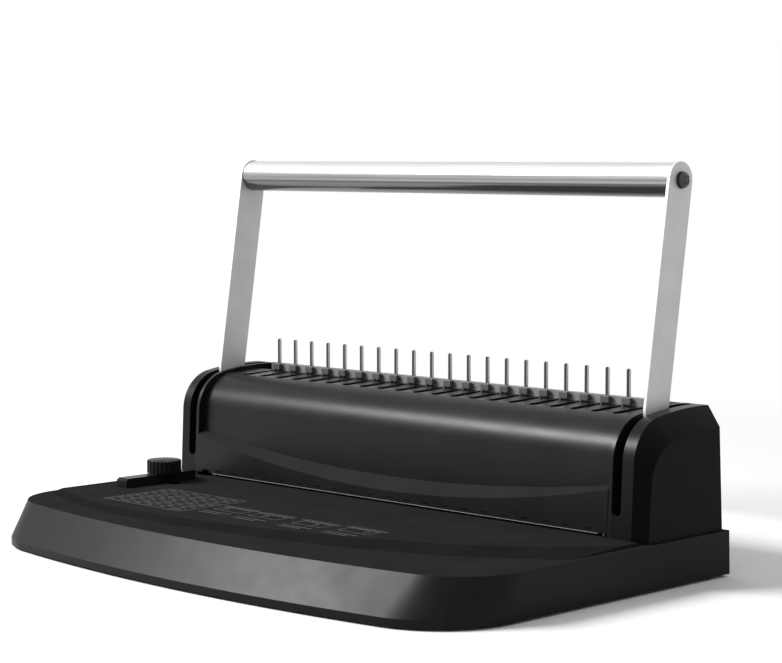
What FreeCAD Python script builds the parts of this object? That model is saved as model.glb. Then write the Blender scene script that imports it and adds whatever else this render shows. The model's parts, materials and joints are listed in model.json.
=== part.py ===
import FreeCAD, Part
import math
import os
import Sketcher

# Desk binding machine for plastic combs: a lever punch with a row of comb fingers.
# X runs along the fingers, +Y to the rear, +Z up. The origin is on the table, under
# the middle of the machine. Lengths are millimetres, angles are degrees.

Vector = FreeCAD.Vector
Rotation = FreeCAD.Rotation
Placement = FreeCAD.Placement

# Driving sizes: alias, value, what it is
SIZES = [
    ("finger_pitch", 14.2875, "comb pitch, nine sixteenths of an inch"),
    ("finger_count", 21, "fingers, punches and hooks"),
    ("base_half_width", 180.0, "base, half of the width"),
    ("base_rear", 113.6, "rear face of the base"),
    ("base_front", -113.6, "foremost point of the bowed front"),
    ("base_bow", 926.0, "radius of the bowed front"),
    ("base_corner", 48.0, "radius of the front corners"),
    ("rim_low", 1.2, "lower edge of the base's rim"),
    ("rim_high", 5.0, "upper edge of the upright rim"),
    ("top_half_width", 179.5, "half width at the base's top edge"),
    ("top_front", -100.6, "foremost point of the base's top edge"),
    ("top_bow", 850.0, "bow radius of the base's top edge"),
    ("top_corner", 40.0, "corner radius of the base's top edge"),
    ("base_top", 24.0, "height of the border round the paper table"),
    ("table_top", 25.6, "height of the paper table"),
    ("tray_wall", 2.6, "wall of the base"),
    ("cavity_top", 20.4, "ceiling of the hollow in the base"),
    ("plate_low", 2.6, "underside of the bottom plate"),
    ("plate_thick", 1.2, "thickness of the bottom plate"),
    ("foot_radius", 8.0, "rubber foot"),
    ("house_front", 43.4, "front plane of the housing"),
    ("house_rear_low", 110.0, "rear wall of the housing at its foot"),
    ("house_rear_high", 106.2, "rear wall of the housing at its top"),
    ("shoulder_front", 45.2, "where the front starts to curve, depth"),
    ("shoulder_low", 64.2, "where the front starts to curve, height"),
    ("brow_mid_y", 51.5, "middle of the tight curve, depth"),
    ("brow_mid_z", 79.2, "middle of the tight curve, height"),
    ("brow_y", 64.6, "end of the tight curve, depth"),
    ("brow_z", 86.3, "end of the tight curve, height"),
    ("crown_mid_y", 85.3, "middle of the flat top curve, depth"),
    ("crown_mid_z", 88.8, "middle of the flat top curve, height"),
    ("crown_z", 89.1, "rear edge of the top"),
    ("rib_in", 155.1, "inner face of the cover's end rib"),
    ("rib_out", 157.3, "outer face of the end rib, side of the arm slot"),
    ("strip_in", 163.4, "outer side of the arm slot"),
    ("strip_out", 170.6, "where the right end cap's bevel starts"),
    ("cap_side", 177.5, "flat side of the right end cap"),
    ("left_extra", 7.3, "how much further out the left slot and arm stand"),
    ("left_strip_out", 177.2, "where the left end cap's bevel starts"),
    ("left_cap_side", 179.3, "flat side of the left end cap"),
    ("slot_low", 37.0, "lowest point of the arm slot"),
    ("slot_rear", 104.3, "rear end of the arm slot in the top"),
    ("cover_wall", 2.2, "wall of the covers"),
    ("recess_front", 49.4, "front of the recessed middle cover"),
    ("panel_low", 27.5, "lower edge of the front panel, above the paper slot"),
    ("pivot_y", 68.6, "main shaft, depth"),
    ("pivot_z", 40.0, "main shaft, height"),
    ("shaft_radius", 5.0, "main shaft"),
    ("lever_tilt", 8.7, "lean of the lever at rest, degrees"),
    ("lever_length", 166.8, "main shaft to grip axis"),
    ("arm_middle", 160.2, "middle of the arm's thickness"),
    ("arm_thick", 2.0, "thickness of the arm"),
    ("arm_width", 19.1, "width of the arm"),
    ("grip_radius", 9.0, "grip tube"),
    ("finger_y", 93.4, "row of fingers"),
    ("finger_top", 105.9, "top of the fingers"),
    ("finger_plate_top", 91.1, "top edge of the finger plate"),
    ("finger_width", 2.0, "width of a finger"),
    ("finger_thick", 1.6, "thickness of the finger plate"),
    ("deck_z", 86.6, "top of the middle cover beside the fingers"),
    ("deck_front_z", 85.4, "top of the middle cover at the hook slots' front"),
    ("slot_front", 69.2, "front end of the hook slots"),
    ("punch_y", 55.0, "row of punches"),
    ("punch_width", 8.0, "punched hole, long side"),
    ("punch_depth", 2.8, "punched hole, short side"),
    ("frame_in", 149.4, "inner face of the side frame"),
    ("frame_thick", 1.6, "side frame"),
    ("gear_radius", 8.0, "pitch radius of the pinion"),
    ("gear_teeth", 16, "teeth of the pinion"),
]

# Points of the curved outlines: name, (x, y) points, arcs pass through every second one
CURVES = {
    "edge_low": [
        (-176.5, -53.0), (-145.0, -68.0), (-107.8, -77.1), (-60.0, -79.6), (-11.0, -76.0),
        (55.0, -66.4), (113.4, -48.5), (147.0, -30.5), (176.5, -8.0),
    ],
    "edge_high": [
        (-174.9, -47.5), (-140.0, -61.5), (-103.0, -68.0), (-65.0, -69.2), (-24.0, -64.0),
        (40.0, -51.2), (96.6, -31.0), (138.0, -7.5), (174.9, 32.0),
    ],
}


class Size:
    """A cell of the sheet, or arithmetic on cells: its value and its expression."""

    def __init__(self, value, text):
        self.value = value
        self.text = text

    def __add__(self, other):
        other = as_size(other)
        return Size(self.value + other.value, f"({self.text} + {other.text})")

    def __sub__(self, other):
        other = as_size(other)
        return Size(self.value - other.value, f"({self.text} - {other.text})")

    def __mul__(self, other):
        other = as_size(other)
        return Size(self.value * other.value, f"({self.text} * {other.text})")

    def __truediv__(self, other):
        other = as_size(other)
        return Size(self.value / other.value, f"({self.text} / {other.text})")

    def __radd__(self, other):
        return as_size(other) + self

    def __rsub__(self, other):
        return as_size(other) - self

    def __rmul__(self, other):
        return as_size(other) * self

    def __neg__(self):
        return Size(-self.value, f"(0 - {self.text})")

    def root(self):
        return Size(math.sqrt(self.value), f"sqrt({self.text})")

    def sine(self):
        return Size(math.sin(math.radians(self.value)), f"sin({self.text})")

    def cosine(self):
        return Size(math.cos(math.radians(self.value)), f"cos({self.text})")


def as_size(value):
    if isinstance(value, Size):
        return value
    return Size(float(value), f"({float(value):.6g})")


class Through:
    """Marks an outline's edge as an arc that passes through this point."""

    def __init__(self, x, y):
        self.place = (x, y)


def start_sheet(document):
    sheet = document.addObject("Spreadsheet::Sheet", "Sizes")
    cells = {}
    for row, (alias, value, note) in enumerate(SIZES, start=1):
        sheet.set(f"A{row}", str(value))
        sheet.setAlias(f"A{row}", alias)
        sheet.set(f"B{row}", note)
        cells[alias] = Size(float(value), f"Sizes.{alias}")
    row = len(SIZES)
    for name, points in CURVES.items():
        for number, place in enumerate(points):
            for letter, value in zip("xy", place):
                row += 1
                alias = f"{name}_{letter}{number}"
                sheet.set(f"A{row}", str(value))
                sheet.setAlias(f"A{row}", alias)
                cells[alias] = Size(float(value), f"Sizes.{alias}")
    document.recompute()
    return cells


DOC = FreeCAD.newDocument("BindingMachine")
CELL = start_sheet(DOC)
NODES = []


# Helpers for sketches and features

def new_body(label):
    body = DOC.addObject("PartDesign::Body", label)
    body.Label = label
    NODES.append(body)
    return body


def origin_part(body, role):
    """A plane or an axis of the body's origin."""
    for feature in body.Origin.OriginFeatures:
        if feature.Role == role:
            return feature
    raise RuntimeError(f"the origin has no {role}")


def bind(thing, path, value):
    """Ties a property to the sheet, or sets it where it is a plain number."""
    thing.setExpression(path, as_size(value).text)


def pin(sketch, index, end, place):
    for kind, value in zip(("DistanceX", "DistanceY"), place):
        size = as_size(value)
        number = sketch.addConstraint(Sketcher.Constraint(kind, -1, 1, index, end, size.value))
        if isinstance(value, Size):
            sketch.setExpression(f"Constraints[{number}]", size.text)


def flat_point(place):
    return Vector(as_size(place[0]).value, as_size(place[1]).value, 0)


def add_outline(sketch, outline):
    """Adds one closed outline of straight edges and arcs, every corner tied to the sheet."""
    corners = [item for item in outline if not isinstance(item, Through)]
    steps = []
    for position, item in enumerate(outline):
        if isinstance(item, Through):
            continue
        following = outline[(position + 1) % len(outline)]
        steps.append(following if isinstance(following, Through) else None)
    first = sketch.GeometryCount
    for number, corner in enumerate(corners):
        start = flat_point(corner)
        finish = flat_point(corners[(number + 1) % len(corners)])
        if steps[number] is None:
            sketch.addGeometry(Part.LineSegment(start, finish), False)
        else:
            middle = flat_point(steps[number].place)
            if (middle - start).cross(finish - middle).z < 0:
                start, finish = finish, start
            sketch.addGeometry(Part.Arc(start, middle, finish), False)
    ends = []
    for number, corner in enumerate(corners):
        start = flat_point(corner)
        shape = sketch.Geometry[first + number]
        forward = (shape.StartPoint - start).Length < (shape.EndPoint - start).Length
        ends.append((1, 2) if forward else (2, 1))
    for number in range(len(corners)):
        after = (number + 1) % len(corners)
        sketch.addConstraint(
            Sketcher.Constraint(
                "Coincident", first + number, ends[number][1], first + after, ends[after][0]
            )
        )
        pin(sketch, first + number, ends[number][0], corners[number])
    for number, middle in enumerate(steps):
        if middle is not None:
            spot = sketch.addGeometry(Part.Point(flat_point(middle.place)), True)
            pin(sketch, spot, 1, middle.place)
            sketch.addConstraint(Sketcher.Constraint("PointOnObject", spot, 1, first + number))


def add_circle(sketch, centre, radius):
    size = as_size(radius)
    index = sketch.addGeometry(
        Part.Circle(flat_point(centre), Vector(0, 0, 1), size.value), False
    )
    pin(sketch, index, 3, centre)
    number = sketch.addConstraint(Sketcher.Constraint("Radius", index, size.value))
    sketch.setExpression(f"Constraints[{number}]", size.text)


def new_sketch(body, name, plane, height, outlines=(), circles=()):
    """A sketch on an origin plane moved along its axis to the given coordinate."""
    sketch = body.newObject("Sketcher::SketchObject", name)
    sketch.AttachmentSupport = [(origin_part(body, plane), "")]
    sketch.MapMode = "FlatFace"
    offset = -as_size(height) if plane == "XZ_Plane" else as_size(height)
    sketch.setExpression("AttachmentOffset.Base.z", offset.text)
    for outline in outlines:
        add_outline(sketch, outline)
    for centre, radius in circles:
        add_circle(sketch, centre, radius)
    return sketch


def add_slab(body, name, plane, start, end, outlines=(), circles=()):
    """Pads outlines from one coordinate to another along the plane's axis."""
    height = end if plane == "XZ_Plane" else start
    sketch = new_sketch(body, name + "Sketch", plane, height, outlines, circles)
    pad = body.newObject("PartDesign::Pad", name)
    pad.Profile = sketch
    bind(pad, "Length", as_size(end) - as_size(start))
    body.Tip = pad
    return pad


def cut_slab(body, name, plane, start, end, outlines=(), circles=()):
    """Pockets outlines from one coordinate to another along the plane's axis."""
    height = start if plane == "XZ_Plane" else end
    sketch = new_sketch(body, name + "Sketch", plane, height, outlines, circles)
    DOC.recompute()
    before = body.Shape.Volume
    pocket = body.newObject("PartDesign::Pocket", name)
    pocket.Profile = sketch
    bind(pocket, "Length", as_size(end) - as_size(start))
    body.Tip = pocket
    DOC.recompute()
    if not body.Shape.Volume < before - 1e-6:
        raise RuntimeError(f"{body.Label}: {name} cuts nothing")
    return pocket


def repeat_along_x(body, feature, name, pitch, count):
    """Repeats a feature along +X, and makes the pattern the body's result."""
    pattern = body.newObject("PartDesign::LinearPattern", name)
    pattern.Originals = [feature]
    pattern.Direction = (origin_part(body, "X_Axis"), [""])
    pattern.Mode = "Spacing"
    bind(pattern, "Offset", pitch)
    pattern.Occurrences = int(count)
    body.Tip = pattern
    DOC.recompute()
    return pattern


def box_outline(x_low, x_high, y_low, y_high):
    return [(x_low, y_low), (x_high, y_low), (x_high, y_high), (x_low, y_high)]


def loft(body, name, kind, lower, upper):
    feature = body.newObject(kind, name)
    feature.Profile = lower
    feature.Sections = [(upper, [""])]
    feature.Ruled = True
    body.Tip = feature
    DOC.recompute()
    return feature


# Primitive solids for turned and small pieces

def new_solid(kind, name, **sizes):
    solid = DOC.addObject(f"Part::{kind}", name)
    for path, value in sizes.items():
        bind(solid, path, value)
    return solid


def turned(solid, axis):
    """Lays a primitive that stands along Z along another axis."""
    turns = {"X": Rotation(Vector(0, 1, 0), 90), "Y": Rotation(Vector(1, 0, 0), -90)}
    solid.Placement = Placement(Vector(), turns[axis])
    return solid


def moved(solid, x, y, z):
    for letter, value in zip("xyz", (x, y, z)):
        bind(solid, f"Placement.Base.{letter}", value)
    return solid


def rod(name, axis, start, end, across, radius):
    """A cylinder along an axis, from one coordinate to another."""
    length = as_size(end) - as_size(start)
    solid = new_solid("Cylinder", name, Radius=radius, Height=length)
    if axis != "Z":
        turned(solid, axis)
    places = {
        "X": (start, across[0], across[1]),
        "Y": (across[0], start, across[1]),
        "Z": (across[0], across[1], start),
    }
    return moved(solid, *places[axis])


def block(name, x, y, z):
    """A box between two coordinates on each axis."""
    solid = new_solid(
        "Box",
        name,
        Length=as_size(x[1]) - as_size(x[0]),
        Width=as_size(y[1]) - as_size(y[0]),
        Height=as_size(z[1]) - as_size(z[0]),
    )
    return moved(solid, x[0], y[0], z[0])


def joined(name, solids):
    if len(solids) == 1:
        return solids[0]
    result = DOC.addObject("Part::MultiFuse", name)
    result.Shapes = solids
    return result


def without(name, base, *tools):
    result = DOC.addObject("Part::Cut", name)
    result.Base = base
    result.Tool = joined(name + "Tools", list(tools))
    return result


def group(label, solids):
    """Separate solids that share one node."""
    result = DOC.addObject("Part::Compound", label)
    result.Links = solids
    return keep(result, label)


def keep(solid, label):
    solid.Label = label
    NODES.append(solid)
    return solid


def curve(name):
    """The named curve as an outline: corners with an arc through the point between them."""
    items = []
    for number in range(len(CURVES[name])):
        place = (CELL[f"{name}_x{number}"], CELL[f"{name}_y{number}"])
        items.append(Through(*place) if number % 2 else place)
    return items


# Places along X on the two sides

SIDES = (("left", -1), ("right", 1))


def ordered(one, other):
    """Two coordinates, the lower one first."""
    return (one, other) if as_size(one).value < as_size(other).value else (other, one)


def span(side, near, far):
    """Two X coordinates on the given side, at distances from the middle."""
    return ordered(side * near, side * far)


def end_x(side, distance):
    """X near an end of the housing, where the left slot and arm stand further out."""
    return as_size(distance) if side > 0 else -(as_size(distance) + CELL["left_extra"])


def end_span(side, near, far):
    """Two X coordinates near an end of the housing."""
    return ordered(end_x(side, near), end_x(side, far))


def arm_faces(side):
    """X of the arm's inner and outer face."""
    half = CELL["arm_thick"] / 2
    return end_x(side, CELL["arm_middle"] - half), end_x(side, CELL["arm_middle"] + half)


# Base

def bowed_outline(half_width, front, bow, corner, rear):
    """Plan of the base: straight rear and sides, round corners and a bowed front."""
    across = half_width - corner
    down = ((bow - corner) * (bow - corner) - across * across).root()
    bow_y = front + bow
    corner_y = bow_y - down
    unit_x = across / (bow - corner)
    unit_y = down / (bow - corner)
    long = ((unit_x + 1) * (unit_x + 1) + unit_y * unit_y).root()
    mid_x = across + corner * (unit_x + 1) / long
    mid_y = corner_y - corner * unit_y / long
    join_x = bow * unit_x
    join_y = bow_y - bow * unit_y
    return [
        (half_width, rear),
        (-half_width, rear),
        (-half_width, corner_y),
        Through(-mid_x, mid_y),
        (-join_x, join_y),
        Through(0, front),
        (join_x, join_y),
        Through(mid_x, mid_y),
        (half_width, corner_y),
    ]


def low_outline(inset):
    return bowed_outline(
        CELL["base_half_width"] - inset,
        CELL["base_front"] + inset,
        CELL["base_bow"] - inset,
        CELL["base_corner"] - inset,
        CELL["base_rear"] - inset,
    )


def high_outline(inset):
    return bowed_outline(
        CELL["top_half_width"] - inset,
        CELL["top_front"] + inset,
        CELL["top_bow"] - inset,
        CELL["top_corner"] - inset,
        CELL["base_rear"] - inset,
    )


BOSSES = [(-158, -52), (158, -52), (-60, -84), (60, -84), (-166, 98), (0, 98), (166, 98)]
FEET = [(-146, -72), (146, -72), (0, -94), (-150, 98), (150, 98)]
BOSS_RADIUS = 4.0
SCREW_RADIUS = 1.5
DRAWER_Y = (48.0, 84.0)
DRAWER_Z = (3.9, 15.5)
DIE_Y = (45.9, 57.6)
DIE_LOW = 22.4
RACK_X = (141.0, 146.0)
CAP_SCREW_X = {-1: -173.3, 1: 172.0}
CAP_SCREW_Y = (58.0, 88.0)
CAP_BOSS_RADIUS = {-1: 3.0, 1: 3.6}
FRAME_SCREWS = [(143.0, 90.0), (143.0, 100.0)]
GUIDE_X = -151.7
GUIDE_REACH = 10.0
KNOB_Y = 9.0
STUD_RADIUS = 2.5


def cap_screw_places(side):
    return [(CAP_SCREW_X[side], y) for y in CAP_SCREW_Y]


def frame_screw_places(side):
    return [(side * x, y) for x, y in FRAME_SCREWS]


def make_base_tray():
    body = new_body("base_tray")
    wall = CELL["tray_wall"]
    rim_low, rim_high, top = CELL["rim_low"], CELL["rim_high"], CELL["base_top"]
    add_slab(body, "Rim", "XY_Plane", rim_low, rim_high, [low_outline(0)])
    foot = new_sketch(body, "SlopeFoot", "XY_Plane", rim_high, [low_outline(0)])
    brow = new_sketch(body, "SlopeBrow", "XY_Plane", top, [high_outline(0)])
    loft(body, "Slope", "PartDesign::AdditiveLoft", foot, brow)
    rear = CELL["house_front"] + 2.5
    low_edge = curve("edge_low")
    high_edge = curve("edge_high")
    low = low_edge + [(low_edge[-1][0], rear), (low_edge[0][0], rear)]
    high = high_edge + [(high_edge[-1][0], rear), (high_edge[0][0], rear)]
    table_foot = new_sketch(body, "TableFoot", "XY_Plane", top, [low])
    table_brow = new_sketch(body, "TableBrow", "XY_Plane", CELL["table_top"], [high])
    loft(body, "PaperTable", "PartDesign::AdditiveLoft", table_foot, table_brow)
    cut_slab(body, "HollowRim", "XY_Plane", rim_low, rim_high, [low_outline(wall)])
    inner_foot = new_sketch(body, "HollowFoot", "XY_Plane", rim_high, [low_outline(wall)])
    inner_brow = new_sketch(
        body, "HollowBrow", "XY_Plane", CELL["cavity_top"], [high_outline(wall)]
    )
    loft(body, "Hollow", "PartDesign::SubtractiveLoft", inner_foot, inner_brow)
    plate_high = CELL["plate_low"] + CELL["plate_thick"]
    bosses = [(place, BOSS_RADIUS) for place in BOSSES]
    add_slab(body, "Bosses", "XY_Plane", plate_high, CELL["cavity_top"] + 0.5, (), bosses)
    pilots = [(place, SCREW_RADIUS) for place in BOSSES]
    cut_slab(body, "Pilots", "XY_Plane", plate_high, plate_high + 9, (), pilots)
    frame_in = CELL["frame_in"]
    die_seat = box_outline(-frame_in, frame_in, DIE_Y[0], DIE_Y[1])
    cut_slab(body, "DieSeat", "XY_Plane", DIE_LOW, CELL["table_top"] + 1, [die_seat])
    chute = box_outline(1 - frame_in, frame_in - 1, 51.5, 57.0)
    cut_slab(body, "ChipChute", "XY_Plane", CELL["cavity_top"] - 1, DIE_LOW + 1, [chute])
    wells = [
        box_outline(side * 143.5 - 4, side * 143.5 + 4, 56.8, 63.0) for side in (-1, 1)
    ]
    cut_slab(body, "RackWells", "XY_Plane", CELL["cavity_top"] - 1, top + 1, wells)
    places = []
    for side in (-1, 1):
        places += cap_screw_places(side) + frame_screw_places(side)
    screws = [(place, SCREW_RADIUS) for place in places]
    cut_slab(body, "ScrewHoles", "XY_Plane", CELL["cavity_top"] - 1, top + 1, (), screws)
    seats = [
        box_outline(side * 167 - 14, side * 167 + 14, CELL["house_front"] - 0.1, 46.5)
        for side in (-1, 1)
    ]
    cut_slab(body, "CoverSeats", "XY_Plane", top, CELL["table_top"] + 1, seats)
    reach = GUIDE_REACH + STUD_RADIUS + 0.4
    width = STUD_RADIUS + 0.3
    track = box_outline(GUIDE_X - reach, GUIDE_X + reach, KNOB_Y - width, KNOB_Y + width)
    cut_slab(body, "GuideTrack", "XY_Plane", CELL["cavity_top"] - 1, CELL["table_top"] + 1, [track])
    mouth_y = (DRAWER_Y[0] - 0.3, DRAWER_Y[1] + 0.3)
    mouth = box_outline(*mouth_y, DRAWER_Z[0] - 0.1, DRAWER_Z[1] + 0.3)
    half = CELL["base_half_width"]
    cut_slab(body, "DrawerMouth", "YZ_Plane", -half - 1, 5 - half, [mouth])


def make_bottom_plate():
    body = new_body("bottom_plate")
    low = CELL["plate_low"]
    high = low + CELL["plate_thick"]
    add_slab(body, "Plate", "XY_Plane", low, high, [low_outline(CELL["tray_wall"] + 0.3)])
    rails = [
        box_outline(-176.0, 152.0, DRAWER_Y[0] - 1.5, DRAWER_Y[0] - 0.3),
        box_outline(-176.0, 152.0, DRAWER_Y[1] + 0.3, DRAWER_Y[1] + 1.5),
        box_outline(150.5, 152.0, DRAWER_Y[0] - 0.3, DRAWER_Y[1] + 0.3),
    ]
    add_slab(body, "DrawerRails", "XY_Plane", high - 0.2, high + 8, rails)
    holes = [(place, SCREW_RADIUS + 0.2) for place in BOSSES]
    holes += [(place, 2.5) for place in FEET]
    cut_slab(body, "Holes", "XY_Plane", low - 1, high + 0.5, (), holes)


def make_feet():
    feet = []
    low = CELL["plate_low"]
    for number, place in enumerate(FEET):
        pad = rod(f"FootPad{number}", "Z", 0, low, place, CELL["foot_radius"])
        edge = DOC.addObject("Part::Chamfer", f"FootEdge{number}")
        edge.Base = pad
        edge.Edges = [(3, 0.8, 0.8)]
        stem = rod(f"FootStem{number}", "Z", low, low + CELL["plate_thick"] + 1.5, place, 2.45)
        feet.append(joined(f"Foot{number}", [edge, stem]))
    group("rubber_feet", feet)


def pan_screw(name, place, seat, length, head_radius=3.4, head_high=1.3):
    """A pan-head screw with its head below the seat and its shank above it."""
    head = rod(name + "Head", "Z", as_size(seat) - head_high, seat, place, head_radius)
    shank = rod(name + "Shank", "Z", seat, as_size(seat) + length, place, SCREW_RADIUS)
    return joined(name, [head, shank])


def make_bottom_screws():
    low = CELL["plate_low"]
    group(
        "bottom_screws",
        [pan_screw(f"BottomScrew{n}", place, low, 9) for n, place in enumerate(BOSSES)],
    )


def make_chip_drawer():
    body = new_body("chip_drawer")
    left = -179.4
    right = 149.5
    wall = 1.6
    tray = box_outline(left, right, *DRAWER_Y)
    add_slab(body, "Drawer", "XY_Plane", DRAWER_Z[0], DRAWER_Z[1], [tray])
    inside = box_outline(left + 3.0, right - wall, DRAWER_Y[0] + wall, DRAWER_Y[1] - wall)
    cut_slab(body, "Inside", "XY_Plane", DRAWER_Z[0] + wall, DRAWER_Z[1] + 1, [inside])
    scoop = box_outline(56.0, 76.0, 8.4, 12.6)
    cut_slab(body, "FingerScoop", "YZ_Plane", left - 1, left + 1.8, [scoop])


# Housing

THROAT_END_X = (-157.6, -151.6)
THROAT_END_TOP = 29.0
DECK_REAR = 92.3
GATE_RADIUS = 8.0
# Across the hook slot, from the middle of its finger
HOOK_SLOT_X = (-4.0, -0.2)


def first_finger():
    return -CELL["finger_pitch"] * (CELL["finger_count"] - 1) / 2


def crest(inset=0.0):
    """Side profile of the housing: upright front, tight brow, flat crown and rear wall."""
    return [
        (CELL["house_front"] + inset, CELL["base_top"]),
        (CELL["shoulder_front"] + inset, CELL["shoulder_low"]),
        Through(CELL["brow_mid_y"] + 0.8 * inset, CELL["brow_mid_z"] - 0.6 * inset),
        (CELL["brow_y"] + 0.2 * inset, CELL["brow_z"] - inset),
        Through(CELL["crown_mid_y"], CELL["crown_mid_z"] - inset),
        (CELL["house_rear_high"] - inset, CELL["crown_z"] - inset),
        (CELL["house_rear_low"] - inset, CELL["base_top"]),
    ]


def side_face(inset=0.0):
    """Outline of the right end cap's flat side, inside its bevel."""
    return [
        (48.8 + inset, CELL["base_top"]),
        (51.0 + inset, 54.0),
        Through(56.6 + 0.8 * inset, 67.4 - 0.6 * inset),
        (66.5 + 0.2 * inset, 73.8 - inset),
        Through(86.0, 76.9 - inset),
        (107.0 - inset, 78.2 - inset),
        (CELL["house_rear_low"] - inset, CELL["base_top"]),
    ]


def make_front_cover():
    body = new_body("front_cover")
    rib_in, rib_out = CELL["rib_in"], CELL["rib_out"]
    front, recess = CELL["house_front"], CELL["recess_front"]
    wall = CELL["cover_wall"]
    left, right = end_x(-1, rib_in), end_x(1, rib_in)
    shell = [
        (recess, 34.0),
        (recess, 57.0),
        (recess + 0.8, 63.5),
        Through(55.9, 78.3),
        (67.5, CELL["deck_front_z"] - 0.2),
        (DECK_REAR, CELL["deck_z"]),
        (DECK_REAR, CELL["deck_z"] - wall),
        (67.9, CELL["deck_front_z"] - wall - 0.2),
        Through(57.8, 77.0),
        (recess + wall + 0.8, 63.2),
        (recess + wall, 57.0),
        (recess + wall, 34.0),
    ]
    add_slab(body, "Deck", "YZ_Plane", left, right, [shell])
    panel = [
        (front, CELL["panel_low"]),
        (front + 0.9, 57.0),
        (recess + 1, 57.0),
        (recess + 1, 34.0),
        (front + wall, 34.0),
        (front + wall, CELL["panel_low"]),
    ]
    add_slab(body, "FrontPanel", "YZ_Plane", left, right, [panel])
    notch = box_outline(*THROAT_END_X, CELL["panel_low"] - 1, THROAT_END_TOP)
    cut_slab(body, "ThroatEnd", "XZ_Plane", front - 1, front + wall + 1, [notch])
    middle = (left + right) / 2
    upper = [(left, 51.9), Through(middle, 39.9), (right, 51.9), (right, 60), (left, 60)]
    lower = [(left, 49.7), Through(middle, 32.6), (right, 49.7), (right, 60), (left, 60)]
    inner_curve = new_sketch(body, "RecessFloor", "XZ_Plane", recess, [upper])
    outer_curve = new_sketch(body, "RecessMouth", "XZ_Plane", front - 0.1, [lower])
    loft(body, "Recess", "PartDesign::SubtractiveLoft", inner_curve, outer_curve)
    gate_front, gate_rear = CELL["pivot_y"] - GATE_RADIUS, CELL["pivot_y"] + GATE_RADIUS
    gate = [
        (gate_front, CELL["base_top"] - 1),
        (gate_rear, CELL["base_top"] - 1),
        (gate_rear, CELL["pivot_z"]),
        Through(CELL["pivot_y"], CELL["pivot_z"] + GATE_RADIUS),
        (gate_front, CELL["pivot_z"]),
    ]
    for label, side in SIDES:
        low, high = end_span(side, rib_in, rib_out)
        add_slab(body, label.title() + "Rib", "YZ_Plane", low, high, [crest()])
        cut_slab(body, label.title() + "ShaftGate", "YZ_Plane", low - 0.5, high + 0.5, [gate])
    first = first_finger()
    slot_left, slot_right = first + HOOK_SLOT_X[0], first + HOOK_SLOT_X[1]
    slot_middle = (slot_left + slot_right) / 2
    round_start = CELL["slot_front"] + (slot_right - slot_left) / 2
    slot = [
        (slot_left, DECK_REAR + 1),
        (slot_left, round_start),
        Through(slot_middle, CELL["slot_front"]),
        (slot_right, round_start),
        (slot_right, DECK_REAR + 1),
    ]
    cut = cut_slab(body, "HookSlot", "XY_Plane", 80.0, 90.0, [slot])
    repeat_along_x(body, cut, "HookSlots", CELL["finger_pitch"], CELL["finger_count"].value)


def open_below(outline):
    """The outline with its foot carried below the housing, for a cut that is open there."""
    foot = CELL["base_top"] - 1
    return [(outline[0][0], foot)] + outline[1:-1] + [(outline[-1][0], foot)]


def cap_form(side):
    """X where the cap's bevel starts and ends, its far outline and its hollow's outline."""
    if side > 0:
        return CELL["strip_out"], CELL["cap_side"], side_face(), side_face(3.0)
    return -CELL["left_strip_out"], -CELL["left_cap_side"], crest(2.0), crest(2.4)


def make_end_cap(label, side):
    body = new_body(f"{label}_end_cap")
    rib_out, strip_in, wall = CELL["rib_out"], CELL["strip_in"], CELL["cover_wall"]
    bevel_start, flat, far_outline, hollow = cap_form(side)
    low, high = ordered(end_x(side, rib_out), bevel_start)
    add_slab(body, "Strip", "YZ_Plane", low, high, [crest()])
    near = new_sketch(body, "BevelFoot", "YZ_Plane", bevel_start, [crest()])
    far = new_sketch(body, "BevelBrow", "YZ_Plane", flat, [far_outline])
    loft(body, "Bevel", "PartDesign::AdditiveLoft", near, far)
    low, high = ordered(end_x(side, strip_in + wall), flat - side * wall)
    cut_slab(body, "Hollow", "YZ_Plane", low, high, [open_below(hollow)])
    low, high = end_span(side, rib_out - 0.5, strip_in)
    cut_slab(body, "ArmRoom", "YZ_Plane", low, high, [open_below(crest(2.4))])
    middle = end_x(side, (rib_out + strip_in) / 2)
    half = (strip_in - rib_out) / 2
    slot = [
        (middle - half, 95.0),
        (middle - half, CELL["slot_low"] + half),
        Through(middle, CELL["slot_low"]),
        (middle + half, CELL["slot_low"] + half),
        (middle + half, 95.0),
    ]
    cut_slab(body, "ArmSlotFront", "XZ_Plane", 40.0, 70.0, [slot])
    top_slot = box_outline(middle - half, middle + half, 65.0, CELL["slot_rear"])
    cut_slab(body, "ArmSlotTop", "XY_Plane", 80.0, 95.0, [top_slot])
    bosses = [(place, CAP_BOSS_RADIUS[side]) for place in cap_screw_places(side)]
    add_slab(body, "ScrewBosses", "XY_Plane", CELL["base_top"], 38.0, (), bosses)
    pilots = [(place, SCREW_RADIUS) for place in cap_screw_places(side)]
    cut_slab(body, "ScrewPilots", "XY_Plane", CELL["base_top"] - 1, 34.0, (), pilots)


def make_rear_cover():
    body = new_body("rear_cover")
    low_y, high_y = CELL["house_rear_low"], CELL["house_rear_high"]
    wall = CELL["cover_wall"]
    shell = [
        (95.6, 84.2),
        (103.2, 84.2),
        (103.8, 88.8),
        (high_y, CELL["crown_z"]),
        (low_y, CELL["base_top"]),
        (low_y - wall, CELL["base_top"]),
        (high_y - wall + 0.4, 82.0),
        (95.6, 82.0),
    ]
    rib_in = CELL["rib_in"]
    add_slab(body, "Shell", "YZ_Plane", end_x(-1, rib_in), end_x(1, rib_in), [shell])


def make_cover_screws():
    screws = []
    for number, place in enumerate(cap_screw_places(-1) + cap_screw_places(1)):
        screws.append(pan_screw(f"CoverScrew{number}", place, CELL["cavity_top"], 12))
    group("cover_screws", screws)


# Steel frame and punch

ROCKER = (74.05, 56.1)
ROCKER_REACH = 21.5
ROCKER_SWING = 18.48
LINE_TILT = 18.7
ROCKER_X = (151.2, 153.0)
GUIDE_Z = (27.3, 31.5)
GUIDE_Y = (50.9, 57.6)
BAR_Z = (44.0, 56.0)
BAR_Y = (53.2, 57.9)


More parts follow.
